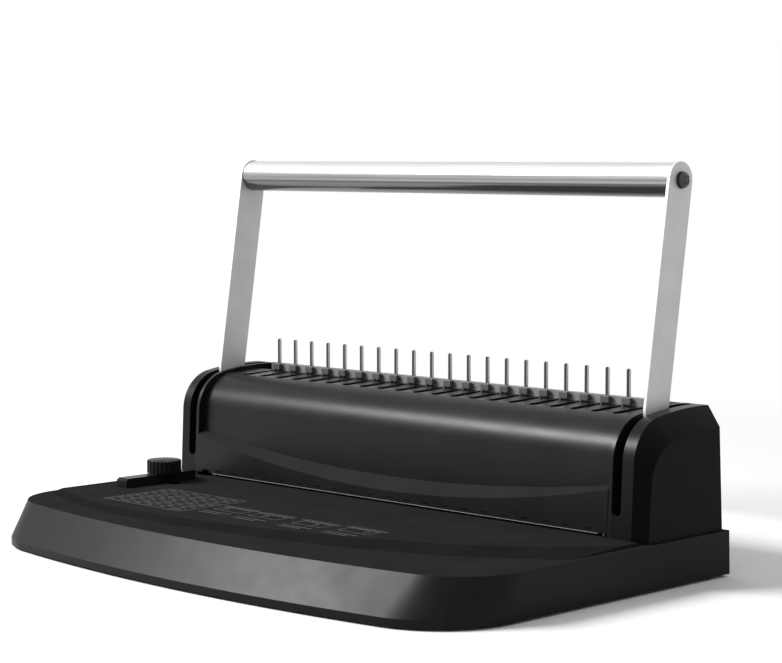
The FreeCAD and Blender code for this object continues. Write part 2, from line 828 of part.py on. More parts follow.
def make_side_frame(label, side):
    body = new_body(f"{label}_side_frame")
    low, high = span(side, CELL["frame_in"], CELL["frame_in"] + CELL["frame_thick"])
    foot = CELL["base_top"]
    plate = [
        (47.0, foot),
        (47.0, 31.5),
        (53.0, 33.5),
        (53.0, 58.0),
        (58.5, 72.0),
        (61.0, 76.9),
        (92.6, 76.9),
        (92.6, 81.5),
        (103.0, 81.5),
        (105.5, foot),
    ]
    add_slab(body, "Plate", "YZ_Plane", low, high, [plate])
    low, high = span(side, 137.4, CELL["frame_in"] + 0.5)
    flange = box_outline(low, high, 84.0, 105.0)
    add_slab(body, "FootFlange", "XY_Plane", foot, foot + CELL["frame_thick"], [flange])
    low, high = span(side, CELL["frame_in"] - 0.5, CELL["frame_in"] + CELL["frame_thick"] + 0.5)
    tenon = box_outline(51.9, 56.6, *GUIDE_Z)
    holes = [
        ((CELL["pivot_y"], CELL["pivot_z"]), 6.5),
        (ROCKER, 2.0),
        ((99.0, 66.0), 1.6),
        ((99.0, 76.0), 1.6),
    ]
    cut_slab(body, "Holes", "YZ_Plane", low, high, [tenon], holes)
    bolts = [(place, SCREW_RADIUS) for place in frame_screw_places(side)]
    cut_slab(body, "FootHoles", "XY_Plane", foot - 1, foot + 3, (), bolts)


def make_frame_screws():
    screws = []
    seat = CELL["base_top"] + CELL["frame_thick"]
    for number, place in enumerate(frame_screw_places(-1) + frame_screw_places(1)):
        name = f"FrameScrew{number}"
        head = rod(name + "Head", "Z", seat, seat + 1.4, place, 3.2)
        shank = rod(name + "Shank", "Z", seat - 8, seat, place, SCREW_RADIUS)
        screws.append(joined(name, [head, shank]))
    group("frame_screws", screws)


def punched_plate(label, y, z, tenon=None):
    """A steel bar with a row of oblong holes at the comb's pitch."""
    body = new_body(label)
    frame_in = CELL["frame_in"]
    add_slab(body, "Bar", "XY_Plane", z[0], z[1], [box_outline(-frame_in, frame_in, *y)])
    if tenon:
        reach = frame_in + CELL["frame_thick"]
        add_slab(body, "Tenons", "XY_Plane", z[0], z[1], [box_outline(-reach, reach, *tenon)])
    first = first_finger()
    half_x = CELL["punch_width"] / 2 + 0.06
    half_y = CELL["punch_depth"] / 2 + 0.06
    row = CELL["punch_y"]
    hole = box_outline(first - half_x, first + half_x, row - half_y, row + half_y)
    cut = cut_slab(body, "Hole", "XY_Plane", as_size(z[0]) - 1, as_size(z[1]) + 1, [hole])
    repeat_along_x(body, cut, "Holes", CELL["finger_pitch"], CELL["finger_count"].value)
    return body


def make_die_and_guide():
    punched_plate("die_plate", DIE_Y, (DIE_LOW, CELL["table_top"]))
    punched_plate("punch_guide", GUIDE_Y, GUIDE_Z, (51.9, 56.6))
    frame_in = CELL["frame_in"]
    spacers = []
    for label, side in SIDES:
        x = span(side, frame_in - 2, frame_in)
        spacers.append(block(label.title() + "Spacer", x, GUIDE_Y, (CELL["table_top"], GUIDE_Z[0])))
    group("plate_spacers", spacers)


def make_punches():
    punches = []
    half_x = CELL["punch_width"] / 2
    half_y = CELL["punch_depth"] / 2
    row = CELL["punch_y"]
    for number, middle in enumerate(finger_middles()):
        tip = 28.6 + 0.5 * (number % 3)
        punches.append(
            block(
                f"Punch{number}",
                (middle - half_x, middle + half_x),
                (row - half_y, row + half_y),
                (tip, BAR_Z[0]),
            )
        )
    group("punches", punches)


def make_punch_bar():
    body = new_body("punch_bar")
    add_slab(body, "Bar", "YZ_Plane", -147.6, 147.6, [box_outline(*BAR_Y, *BAR_Z)])


def rack_tooth(pitch_y, middle_z, module=1.0):
    """Half-depth trapezoid of a rack that faces +Y, in the plane of Y and Z."""
    half = 0.69 * module
    root = half + 1.15 * module * math.tan(math.radians(20))
    tip = half - 0.9 * module * math.tan(math.radians(20))
    return [
        (pitch_y - 1.25 * module, middle_z - root),
        (pitch_y + 0.9 * module, middle_z - tip),
        (pitch_y + 0.9 * module, middle_z + tip),
        (pitch_y - 1.25 * module, middle_z + root),
    ]


def make_rack(label, side):
    body = new_body(f"{label}_rack")
    low, high = span(side, *RACK_X)
    pitch_y = CELL["pivot_y"] - CELL["gear_radius"]
    step = math.pi
    foot = CELL["pivot_z"] - 1.5 * step - 1.2
    count = 6
    top = foot + 2.4 + (count - 1) * step + 2.0
    add_slab(body, "Back", "YZ_Plane", low, high, [box_outline(BAR_Y[1], pitch_y - 1.2, foot, top)])
    tooth = add_slab(
        body, "Tooth", "YZ_Plane", low, high, [rack_tooth(pitch_y, CELL["pivot_z"] - 1.5 * step)]
    )
    pattern = body.newObject("PartDesign::LinearPattern", "Teeth")
    pattern.Originals = [tooth]
    pattern.Direction = (origin_part(body, "Z_Axis"), [""])
    pattern.Mode = "Spacing"
    pattern.Offset = step
    pattern.Occurrences = count
    body.Tip = pattern


def make_pinion(label, side):
    body = new_body(f"{label}_pinion")
    low, high = span(side, RACK_X[0] - 0.5, RACK_X[1] + 0.5)
    radius = CELL["gear_radius"]
    add_slab(body, "Wheel", "YZ_Plane", low, high, (), [((0, 0), radius - 1.15)])
    tooth = [
        (-radius + 1.6, -1.0),
        (-radius, -0.69),
        (-radius - 0.9, -0.31),
        (-radius - 0.9, 0.31),
        (-radius, 0.69),
        (-radius + 1.6, 1.0),
    ]
    pad = add_slab(body, "Tooth", "YZ_Plane", low, high, [tooth])
    pattern = body.newObject("PartDesign::PolarPattern", "Teeth")
    pattern.Originals = [pad]
    pattern.Axis = (origin_part(body, "X_Axis"), [""])
    pattern.Angle = 360
    pattern.Occurrences = int(CELL["gear_teeth"].value)
    body.Tip = pattern
    DOC.recompute()
    cut_slab(
        body, "Bore", "YZ_Plane", as_size(low) - 1, as_size(high) + 1, (),
        [((0, 0), CELL["shaft_radius"])],
    )
    moved(body, 0, CELL["pivot_y"], CELL["pivot_z"])


# Shaft, bushings and rockers

PIN_X = 155.5
SHAFT_END = 163.0
CLIP_X = (161.5, 162.3)


def make_bushing(label, side):
    body = new_body(f"{label}_bushing")
    low, high = span(side, CELL["frame_in"], CELL["frame_in"] + CELL["frame_thick"])
    centre = (CELL["pivot_y"], CELL["pivot_z"])
    add_slab(body, "Sleeve", "YZ_Plane", low, high, (), [(centre, 6.5)])
    low, high = span(side, CELL["frame_in"] - 1.5, CELL["frame_in"])
    add_slab(body, "Flange", "YZ_Plane", low, high, (), [(centre, 8.5)])
    low, high = span(side, CELL["frame_in"] - 2, CELL["frame_in"] + 3)
    cut_slab(body, "Bore", "YZ_Plane", low, high, (), [(centre, CELL["shaft_radius"] + 0.03)])


def make_main_shaft():
    body = new_body("main_shaft")
    centre = (CELL["pivot_y"], CELL["pivot_z"])
    left, right = end_x(-1, SHAFT_END), end_x(1, SHAFT_END)
    add_slab(body, "Shaft", "YZ_Plane", left, right, (), [(centre, CELL["shaft_radius"])])
    holes = [((side * PIN_X, CELL["pivot_y"]), SCREW_RADIUS) for side in (-1, 1)]
    cut_slab(body, "PinHoles", "XY_Plane", CELL["pivot_z"] - 6, CELL["pivot_z"] + 6, (), holes)


def make_drive_pins():
    pins = []
    for label, side in SIDES:
        middle = (side * PIN_X, CELL["pivot_y"])
        low, high = CELL["pivot_z"] - 6.8, CELL["pivot_z"] + 6.8
        pins.append(rod(label.title() + "DrivePin", "Z", low, high, middle, SCREW_RADIUS))
    group("drive_pins", pins)


def make_shaft_clips():
    clips = []
    centre = (CELL["pivot_y"], CELL["pivot_z"])
    for label, side in SIDES:
        low, high = end_span(side, *CLIP_X)
        name = label.title() + "Clip"
        disc = rod(name + "Disc", "X", low, high, centre, 8.0)
        hole = rod(name + "Hole", "X", low - 1, high + 1, centre, CELL["shaft_radius"])
        mouth = block(
            name + "Mouth",
            (low - 1, high + 1),
            (CELL["pivot_y"] - 2.5, CELL["pivot_y"] + 2.5),
            (CELL["pivot_z"] - 9, CELL["pivot_z"] - 2),
        )
        clips.append(without(name, disc, hole, mouth))
    group("shaft_clips", clips)


def make_rocker_pins():
    pins = []
    for label, side in SIDES:
        low, high = span(side, CELL["frame_in"], ROCKER_X[1])
        name = label.title() + "RockerPin"
        stem = rod(name + "Stem", "X", low, high, ROCKER, 2.0)
        low, high = span(side, CELL["frame_in"] - 1.2, CELL["frame_in"])
        head = rod(name + "Head", "X", low, high, ROCKER, 3.4)
        pins.append(joined(name, [stem, head]))
    group("rocker_pins", pins)


def turned_place(centre, tilt, along, across):
    """A point above a centre on a line that leans to the rear by the tilt."""
    tilt = as_size(tilt)
    y = centre[0] + along * tilt.sine() + across * tilt.cosine()
    z = centre[1] + along * tilt.cosine() - across * tilt.sine()
    return y, z


def make_rocker(label, side):
    body = new_body(f"{label}_rocker")
    low, high = span(side, *ROCKER_X)

    def upper(along, across):
        return turned_place(ROCKER, ROCKER_SWING, along, across)

    def lower(along, across):
        return turned_place(ROCKER, ROCKER_SWING + LINE_TILT, -along, across)

    arm = [
        upper(ROCKER_REACH, -2.0),
        Through(*upper(ROCKER_REACH + 2.0, 0)),
        upper(ROCKER_REACH, 2.0),
        upper(0, 3.8),
        upper(0, -3.8),
    ]
    foot = [
        lower(0, 4.4),
        lower(0, -3.9),
        lower(3.4, -3.9),
        lower(3.4, 1.6),
        lower(6.9, 1.6),
        lower(6.9, 4.4),
    ]
    add_slab(body, "UpperArm", "YZ_Plane", low, high, [arm])
    add_slab(body, "Eye", "YZ_Plane", low, high, (), [(ROCKER, 3.9)])
    add_slab(body, "LowerArm", "YZ_Plane", low, high, [foot])
    cut_slab(body, "Bore", "YZ_Plane", as_size(low) - 1, as_size(high) + 1, (), [(ROCKER, 2.05)])


# Fingers and hooks

HOOK_Y = (89.5, 91.9)
HOOK_PLATE_Z = (77.0, 78.5)
HOOK_TOP = 90.8
FINGER_SCREWS = [(99.0, 66.0), (99.0, 76.0)]


def make_finger_plate():
    body = new_body("finger_plate")
    face = CELL["finger_y"] - CELL["finger_thick"] / 2
    back = face + CELL["finger_thick"]
    half = CELL["frame_in"]
    top = CELL["finger_plate_top"]
    add_slab(body, "Plate", "XZ_Plane", face, back, [box_outline(-half, half, 58.0, top)])
    for label, side in SIDES:
        low, high = span(side, half - 1.6, half)
        ear = box_outline(back - 0.5, 104.0, 60.0, 81.0)
        add_slab(body, label.title() + "Ear", "YZ_Plane", low, high, [ear])
        holes = [(place, SCREW_RADIUS) for place in FINGER_SCREWS]
        cut_slab(body, label.title() + "EarHoles", "YZ_Plane", low - 1, high + 1, (), holes)


def finger_middles():
    count = int(CELL["finger_count"].value)
    return [first_finger() + CELL["finger_pitch"] * number for number in range(count)]


def make_comb_fingers():
    """Upright blades on the plate's top edge, each with a round tip."""
    half = CELL["finger_width"] / 2
    face = CELL["finger_y"] - CELL["finger_thick"] / 2
    foot = CELL["finger_plate_top"]
    round_z = CELL["finger_top"] - half
    fingers = []
    for number, middle in enumerate(finger_middles()):
        name = f"Finger{number}"
        back = face + CELL["finger_thick"]
        blade = block(name + "Blade", (middle - half, middle + half), (face, back), (foot, round_z))
        tip = rod(name + "Tip", "Y", face, back, (middle, round_z), half)
        fingers.append(joined(name, [blade, tip]))
    group("comb_fingers", fingers)


def make_finger_plate_screws():
    screws = []
    for label, side in SIDES:
        for number, place in enumerate(FINGER_SCREWS):
            name = f"{label.title()}FingerScrew{number}"
            outer = CELL["frame_in"] + CELL["frame_thick"]
            low, high = span(side, outer, outer + 1.3)
            head = rod(name + "Head", "X", low, high, place, 3.0)
            low, high = span(side, CELL["frame_in"] - 4.0, outer)
            shank = rod(name + "Shank", "X", low, high, place, SCREW_RADIUS)
            screws.append(joined(name, [head, shank]))
    group("finger_plate_screws", screws)


def make_hook_plate():
    body = new_body("hook_plate")
    end = 152.9
    plate = box_outline(-end, end, 74.0, 91.9)
    add_slab(body, "Plate", "XY_Plane", *HOOK_PLATE_Z, [plate])
    tip_y = turned_place(ROCKER, ROCKER_SWING, ROCKER_REACH, 0)[0]
    notches = []
    for label, side in SIDES:
        low, high = span(side, 151.1, end + 1)
        notches.append(box_outline(low, high, tip_y - 2.2, tip_y + 2.2))
    cut_slab(body, "Notches", "XY_Plane", 76.0, 80.0, notches)


def make_comb_hooks():
    """Hooks that stand on the sliding plate and reach out of the slots in the cover."""
    hooks = []
    for number, middle in enumerate(finger_middles()):
        name = f"Hook{number}"
        stem_z = (HOOK_PLATE_Z[1], HOOK_TOP)
        stem = block(name + "Stem", (middle - 1.9, middle - 0.5), HOOK_Y, stem_z)
        head = block(name + "Head", (middle - 1.0, middle + 3.9), HOOK_Y, (87.2, HOOK_TOP))
        hooks.append(joined(name, [stem, head]))
    group("comb_hooks", hooks)


def make_paper_stop():
    body = new_body("paper_stop")
    strip = box_outline(-136.0, 136.0, GUIDE_Y[1], GUIDE_Y[1] + 1.6)
    add_slab(body, "Stop", "XY_Plane", CELL["base_top"], 32.0, [strip])


def make_throat_lip():
    body = new_body("throat_lip")
    end = CELL["frame_in"] - 0.4
    strip = box_outline(-end, end, CELL["house_front"] + 0.2, GUIDE_Y[0])
    add_slab(body, "Lip", "XY_Plane", 27.0, CELL["panel_low"], [strip])


# Lever

PEG_REACH = 11.3
PEG_RADIUS = 1.45
PEG_NECK = 0.75
WASHER_X = (161.2, 162.0)


SPIGOT_RADIUS = 6.0
GRIP_BOLT_RADIUS = 2.0
# The pin's half angle at the bore is 17.4 degrees, and the lever swings back by 18 degrees
WINDOW_AHEAD = 18.0
WINDOW_BEHIND = 36.0


def lever_place(along, across):
    """A point on the lever: distance from the shaft and distance behind its middle line."""
    return turned_place((CELL["pivot_y"], CELL["pivot_z"]), CELL["lever_tilt"], along, across)


def make_arm(label, side):
    body = new_body(f"{label}_arm")
    half = CELL["arm_width"] / 2
    long = CELL["lever_length"]
    outline = [
        lever_place(long, -half),
        Through(*lever_place(long + half, 0)),
        lever_place(long, half),
        lever_place(0, half),
        Through(*lever_place(-half, 0)),
        lever_place(5.5, -7.8),
        lever_place(12.0, -3.9),
        lever_place(40.0, -3.9),
        Through(*lever_place(43.0, -7.6)),
        lever_place(48.5, -half),
    ]
    low, high = ordered(*arm_faces(side))
    add_slab(body, "Bar", "YZ_Plane", low, high, [outline])
    holes = [(lever_place(0, 0), SPIGOT_RADIUS), (lever_place(long, 0), GRIP_BOLT_RADIUS)]
    cut_slab(body, "Holes", "YZ_Plane", low - 1, high + 1, (), holes)


def make_hub(label, side):
    """A sleeve that turns on the shaft, with windows that take the drive pin along."""
    body = new_body(f"{label}_hub")
    centre = (CELL["pivot_y"], CELL["pivot_z"])
    inner, outer = arm_faces(side)
    low, high = ordered(side * ROCKER_X[0], inner)
    add_slab(body, "Sleeve", "YZ_Plane", low, high, (), [(centre, 7.0)])
    low, high = ordered(inner, outer)
    add_slab(body, "Spigot", "YZ_Plane", low, high, (), [(centre, SPIGOT_RADIUS)])
    low, high = span(side, *ROCKER_X)
    neck = [
        lever_place(4.0, -2.2),
        lever_place(8.5, -PEG_NECK),
        lever_place(PEG_REACH, -PEG_NECK),
        lever_place(PEG_REACH, PEG_NECK),
        lever_place(8.5, PEG_NECK),
        lever_place(4.0, 2.2),
    ]
    add_slab(body, "PegNeck", "YZ_Plane", low, high, [neck])
    add_slab(body, "PegHead", "YZ_Plane", low, high, (), [(lever_place(PEG_REACH, 0), PEG_RADIUS)])
    low, high = ordered(side * (ROCKER_X[0] - 1), outer + side)
    cut_slab(body, "Bore", "YZ_Plane", low, high, (), [(centre, CELL["shaft_radius"] + 0.03)])
    low, high = span(side, PIN_X - 1.6, PIN_X + 1.6)
    for name, turn in (("UpperWindow", 0), ("LowerWindow", 180)):
        wedge = [
            centre,
            turned_place(centre, turn + WINDOW_AHEAD, 9.0, 0),
            turned_place(centre, turn - WINDOW_BEHIND, 9.0, 0),
        ]
        cut_slab(body, name, "YZ_Plane", low, high, [wedge])


def make_grip():
    axis = lever_place(CELL["lever_length"], 0)
    inner = CELL["arm_middle"] - CELL["arm_thick"] / 2
    bore = CELL["grip_radius"] - 1.2
    tube = new_body("grip_tube")
    left, right = end_x(-1, inner), end_x(1, inner)
    add_slab(tube, "Tube", "YZ_Plane", left, right, (), [(axis, CELL["grip_radius"])])
    cut_slab(tube, "Bore", "YZ_Plane", left - 1, right + 1, (), [(axis, bore)])
    plugs = []
    washers = []
    screws = []
    for label, side in SIDES:
        name = label.title()
        low, high = end_span(side, inner - 12, inner)
        plug = rod(name + "Plug", "X", low, high, axis, bore)
        hole = rod(name + "PlugHole", "X", low - 1, high + 1, axis, GRIP_BOLT_RADIUS)
        plugs.append(without(name + "GripPlug", plug, hole))
        low, high = end_span(side, *WASHER_X)
        washer = rod(name + "Washer", "X", low, high, axis, 4.5)
        hole = rod(name + "WasherHole", "X", low - 1, high + 1, axis, GRIP_BOLT_RADIUS)
        washers.append(without(name + "GripWasher", washer, hole))
        low, high = end_span(side, inner - 10, WASHER_X[1])
        shank = rod(name + "GripShank", "X", low, high, axis, GRIP_BOLT_RADIUS)
        low, high = end_span(side, WASHER_X[1], WASHER_X[1] + 1.5)
        head = rod(name + "GripHead", "X", low, high, axis, 4.1)
        low, high = end_span(side, WASHER_X[1] + 1.5, WASHER_X[1] + 2.9)
        radii = (4.1, 2.4) if side > 0 else (2.4, 4.1)
        dome = new_solid("Cone", name + "GripDome", Radius1=radii[0], Radius2=radii[1], Height=1.4)
        moved(turned(dome, "X"), low, axis[0], axis[1])
        screws.append(joined(name + "GripScrew", [shank, head, dome]))
    group("grip_plugs", plugs)
    group("grip_washers", washers)
    group("grip_screws", screws)


# Edge guide

GUIDE_HALF_WIDTH = 4.5
GUIDE_FRONT = -22.8
GUIDE_REAR = 29.5
GUIDE_TOP = 31.0
KNOB_TOP = 39.0


def make_edge_guide():
    """A straight bar with a chamfered front edge, held by a knob through the track."""
    body = new_body("edge_guide")
    low = CELL["table_top"] + 0.1
    profile = [
        (GUIDE_FRONT, low),
        (GUIDE_FRONT, GUIDE_TOP - 1.2),
        (GUIDE_FRONT + 1.6, GUIDE_TOP),
        (GUIDE_REAR, GUIDE_TOP),
        (GUIDE_REAR, low),
    ]
    left, right = GUIDE_X - GUIDE_HALF_WIDTH, GUIDE_X + GUIDE_HALF_WIDTH
    add_slab(body, "Bar", "YZ_Plane", left, right, [profile])
    bore = [((GUIDE_X, KNOB_Y), STUD_RADIUS + 0.05)]
    cut_slab(body, "StudHole", "XY_Plane", low - 1, GUIDE_TOP + 1, (), bore)


def make_guide_knob():
    body = new_body("guide_knob")
    centre = (GUIDE_X, KNOB_Y)
    foot = GUIDE_TOP + 0.3
    add_slab(body, "Wheel", "XY_Plane", foot, KNOB_TOP, (), [(centre, 10.1)])
    add_slab(body, "Dome", "XY_Plane", KNOB_TOP, KNOB_TOP + 0.9, (), [(centre, 8.6)])
    add_slab(body, "Stud", "XY_Plane", 17.6, foot + 0.2, (), [(centre, STUD_RADIUS)])


def make_guide_nut():
    body = new_body("guide_nut")
    nut = box_outline(GUIDE_X - 5.5, GUIDE_X + 5.5, KNOB_Y - 5.5, KNOB_Y + 5.5)
    add_slab(body, "Nut", "XY_Plane", 18.1, CELL["cavity_top"] - 0.1, [nut])
    bore = [((GUIDE_X, KNOB_Y), STUD_RADIUS + 0.05)]
    cut_slab(body, "Bore", "XY_Plane", 17.0, 21.0, (), bore)


def finish_document():
    """Recomputes, checks every object and writes each node's solid."""
    DOC.recompute()
    for thing in DOC.Objects:
        if "Invalid" in thing.State or "Error" in thing.State:
            raise RuntimeError(f"{thing.Name} ({thing.Label}) failed: {thing.State}")
    os.makedirs("parts", exist_ok=True)
    for node in NODES:
        shape = node.Shape
        if shape.isNull() or not shape.isValid() or not shape.Solids:
            raise RuntimeError(f"{node.Label} has no valid solid")
        shape.exportStep(f"parts/{node.Label}.step")
    print(len(NODES), "nodes written")


make_base_tray()
make_bottom_plate()
make_feet()
make_bottom_screws()
make_chip_drawer()
make_front_cover()
make_rear_cover()
make_cover_screws()
make_frame_screws()
make_die_and_guide()
make_punches()
make_punch_bar()
make_paper_stop()
make_throat_lip()
make_main_shaft()
make_drive_pins()
make_shaft_clips()
make_rocker_pins()
make_finger_plate()
make_comb_fingers()
make_finger_plate_screws()
make_hook_plate()
make_comb_hooks()
make_grip()
make_edge_guide()
make_guide_knob()
make_guide_nut()
for LABEL, SIDE in SIDES:
    make_end_cap(LABEL, SIDE)
    make_side_frame(LABEL, SIDE)
    make_bushing(LABEL, SIDE)
    make_rack(LABEL, SIDE)
    make_pinion(LABEL, SIDE)
    make_rocker(LABEL, SIDE)
    make_arm(LABEL, SIDE)
    make_hub(LABEL, SIDE)
finish_document()
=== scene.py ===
import json
import math

import bmesh
import bpy
from mathutils import Matrix, Vector
from mathutils.bvhtree import BVHTree


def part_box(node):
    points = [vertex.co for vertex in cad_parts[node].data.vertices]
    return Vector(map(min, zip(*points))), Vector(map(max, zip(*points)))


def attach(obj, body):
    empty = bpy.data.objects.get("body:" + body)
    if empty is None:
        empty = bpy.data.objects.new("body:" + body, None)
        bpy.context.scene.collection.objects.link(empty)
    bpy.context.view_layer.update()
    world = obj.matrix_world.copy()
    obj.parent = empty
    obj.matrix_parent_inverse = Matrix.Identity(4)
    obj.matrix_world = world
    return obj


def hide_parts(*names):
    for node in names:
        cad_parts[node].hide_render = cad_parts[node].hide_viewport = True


# Desk binding machine for plastic combs, dressed for the studio.
# Everything is in metres in the CAD's frame: +X along the fingers, +Y to the rear, +Z up.
# Numbers are written in millimetres, times MM.

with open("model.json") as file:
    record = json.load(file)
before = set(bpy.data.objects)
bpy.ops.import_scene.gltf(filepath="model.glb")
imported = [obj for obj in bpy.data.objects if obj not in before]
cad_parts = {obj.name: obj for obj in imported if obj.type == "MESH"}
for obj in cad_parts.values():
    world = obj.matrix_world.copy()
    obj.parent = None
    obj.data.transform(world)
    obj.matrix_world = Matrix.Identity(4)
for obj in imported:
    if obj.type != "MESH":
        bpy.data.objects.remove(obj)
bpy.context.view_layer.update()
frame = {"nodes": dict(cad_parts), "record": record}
MM = 0.001
NODES = frame["nodes"]
BODY_OF = {}
SLOT_OF = {}
for body_name, members in frame["record"]["behaviour"]["bodies"].items():
    for member in members:
        BODY_OF[member] = body_name
for entry in frame["record"]["subparts"]:
    SLOT_OF[entry["node"]] = entry["material_slot"]


# Colour and node helpers

def linear(hex_text):
    """A written sRGB colour as the linear colour that Blender's sockets take."""
    values = []
    for start in (0, 2, 4):
        value = int(hex_text[start:start + 2], 16) / 255
        values.append(value / 12.92 if value <= 0.04045 else ((value + 0.055) / 1.055) ** 2.4)
    return (*values, 1.0)


def add_node(tree, kind, settings=(), links=()):
    """Adds one node. Settings are attributes or input values, links are (input, output socket)."""
    node = tree.nodes.new(kind)
    for name, value in settings:
        if isinstance(name, str) and hasattr(node, name):
            setattr(node, name, value)
        else:
            node.inputs[name].default_value = value
    for name, socket in links:
        tree.links.new(socket, node.inputs[name])
    return node


def new_material(name, colour, roughness, settings=()):
    """An empty node material with one shader, returned with its tree and shader."""
    material = bpy.data.materials.new(name)
    material.use_nodes = True
    material.diffuse_color = linear(colour)
    tree = material.node_tree
    tree.nodes.clear()
    shader = add_node(
        tree,
        "ShaderNodeBsdfPrincipled",
        [("Base Color", linear(colour)), ("Roughness", roughness), *settings],
    )
    add_node(tree, "ShaderNodeOutputMaterial", links=[("Surface", shader.outputs[0])])
    return material, tree, shader


def object_noise(tree, size, detail=3.0, stretch=(1, 1, 1)):
    """Noise whose grains are about this many metres wide, longer where stretch is small."""
    place = add_node(tree, "ShaderNodeTexCoord")
    mapped = add_node(
        tree,
        "ShaderNodeMapping",
        [("Scale", [part / size for part in stretch])],
        [("Vector", place.outputs["Object"])],
    )
    noise = add_node(
        tree,
        "ShaderNodeTexNoise",
        [("Scale", 1.0), ("Detail", detail), ("Roughness", 0.55)],
        [("Vector", mapped.outputs[0])],
    )
    return noise.outputs["Fac"]


def vary(tree, shader, socket, factor, low, high):
    """Drives a shader value between two numbers by a pattern."""
    ranged = add_node(
        tree,
        "ShaderNodeMapRange",
        [("From Min", 0.3), ("From Max", 0.7), ("To Min", low), ("To Max", high)],
        [("Value", factor)],
    )
    tree.links.new(ranged.outputs["Result"], shader.inputs[socket])


def tint(tree, shader, factor, low, high):
    """Drives the base colour between two written colours by a pattern."""
    ramp = add_node(tree, "ShaderNodeValToRGB", links=[("Fac", factor)])
    ramp.color_ramp.elements[0].position = 0.3
    ramp.color_ramp.elements[0].color = linear(low)
    ramp.color_ramp.elements[1].position = 0.7
    ramp.color_ramp.elements[1].color = linear(high)
    tree.links.new(ramp.outputs["Color"], shader.inputs["Base Color"])


def grain(tree, shader, factor, depth, strength=1.0):
    """Raises the surface by a pattern, depth in metres."""
    bump = add_node(
        tree,
        "ShaderNodeBump",
        [("Distance", depth), ("Strength", strength)],
        [("Height", factor)],
    )
    tree.links.new(bump.outputs[0], shader.inputs["Normal"])


# Materials, each named for what the real one is

def spark_eroded_abs(
    name, colour, light, roughness, gloss=0.08, grain_size=0.5 * MM, depth=0.012 * MM
):
    """Black ABS moulded in a spark-eroded tool: a fine even grain that spreads highlights.

    Gloss is the specular level. It is far under plain ABS's 0.5, because the studio here is white
    all round and would turn a black part grey.
    """
    settings = [("IOR", 1.5), ("Specular IOR Level", gloss)]
    material, tree, shader = new_material(name, colour, roughness, settings)
    wide = object_noise(tree, 24 * MM)
    fine = object_noise(tree, grain_size, detail=2.0)
    tint(tree, shader, wide, colour, light)
    vary(tree, shader, "Roughness", wide, roughness - 0.03, roughness + 0.03)
    grain(tree, shader, fine, depth)
    return material


def shaded_bevel_abs(name):
    """The caps' bevel in a darker copy of the same ABS, with painted shade: dull low down, where
    it faces the dark base.
    """
    material, tree, shader = new_material(name, "0a0a0a", 0.4, [("IOR", 1.5)])
    place = add_node(tree, "ShaderNodeTexCoord")
    parts = add_node(tree, "ShaderNodeSeparateXYZ", links=[(0, place.outputs["Object"])])
    # Painted shade: the gloss grows with height, so the bevel is duller and darker low down
    gloss = add_node(
        tree,
        "ShaderNodeMapRange",
        [("From Min", 64 * MM), ("From Max", 96 * MM), ("To Min", 0.02), ("To Max", 0.09)],
        [("Value", parts.outputs["Z"])],
    )
    tree.links.new(gloss.outputs["Result"], shader.inputs["Specular IOR Level"])
    grain(tree, shader, object_noise(tree, 0.5 * MM, detail=2.0), 0.012 * MM)
    return material


def powder_coated_steel(name, colour, light, roughness):
    """Powder coat or dull plating on sheet steel: a fine orange peel with a slight sparkle."""
    material, tree, shader = new_material(name, colour, roughness, [("Metallic", 0.35)])
    peel = object_noise(tree, 0.9 * MM, detail=2.0)
    tint(tree, shader, object_noise(tree, 15 * MM), colour, light)
    grain(tree, shader, peel, 0.006 * MM)
    return material


# Painted reflections on the tube at each height, from its underside at 0 to its crown at 1: dark
# bands and a painted shadow line below, a painted highlight near the crown
GRIP_PAINTED_REFLECTIONS = (
    (0.0, "525252"),
    (0.13, "707070"),
    (0.25, "686868"),
    (0.31, "6c6c6c"),
    (0.345, "4c4c4c"),
    (0.37, "606060"),
    (0.4, "929292"),
    (0.45, "989898"),
    (0.48, "8c8c8c"),
    (0.52, "9a9a9a"),
    (0.58, "a0a0a0"),
    (0.63, "acacac"),
    (0.69, "d8d8d8"),
    (0.78, "f0f0f0"),
    (0.88, "dcdcdc"),
    (1.0, "b6b6b6"),
)


def drawn_aluminium(name, low, high):
    """Polished drawn tube: fine die lines along X, with painted reflections by height, a painted
    highlight above and dark bands below.

    The lines are about 0.55 mm apart, coarser than real ones, so that they show in the render.
    """
    material, tree, shader = new_material(name, "e0e0e0", 0.2, [("Metallic", 0.8)])
    place = add_node(tree, "ShaderNodeTexCoord")
    parts = add_node(tree, "ShaderNodeSeparateXYZ", links=[(0, place.outputs["Object"])])
    height = add_node(
        tree,
        "ShaderNodeMapRange",
        [("From Min", low), ("From Max", high)],
        [("Value", parts.outputs["Z"])],
    )
    # The tone by height is painted reflection and shade, not the metal's own colour
    bands = add_node(tree, "ShaderNodeValToRGB", links=[("Fac", height.outputs["Result"])])
    ramp = bands.color_ramp
    for position, colour in GRIP_PAINTED_REFLECTIONS[1:-1]:
        ramp.elements.new(position)
    for element, (_, colour) in zip(ramp.elements, GRIP_PAINTED_REFLECTIONS):
        element.color = linear(colour)
    lines = object_noise(tree, 0.55 * MM, detail=3.0, stretch=(0.004, 1, 1))
    shade = add_node(
        tree,
        "ShaderNodeMapRange",
        [("From Min", 0.3), ("From Max", 0.7), ("To Min", 0.82), ("To Max", 1.08)],
        [("Value", lines)],
    )
    lined = add_node(
        tree,
        "ShaderNodeVectorMath",
        [("operation", "MULTIPLY")],
        [(0, bands.outputs["Color"]), (1, shade.outputs["Result"])],
    )
    tree.links.new(lined.outputs[0], shader.inputs["Base Color"])
    vary(tree, shader, "Roughness", lines, 0.12, 0.26)
    grain(tree, shader, lines, 0.006 * MM)
    return material


def plated_steel(name, colour, light, roughness=0.32):
    """Zinc plated, rolled or ground steel: bright metal with faint streaks from rolling."""
    material, tree, shader = new_material(name, colour, roughness, [("Metallic", 1.0)])
    streaks = object_noise(tree, 1.2 * MM, stretch=(0.08, 1, 1))
    tint(tree, shader, streaks, colour, light)
    vary(tree, shader, "Roughness", streaks, roughness - 0.06, roughness + 0.08)
    return material


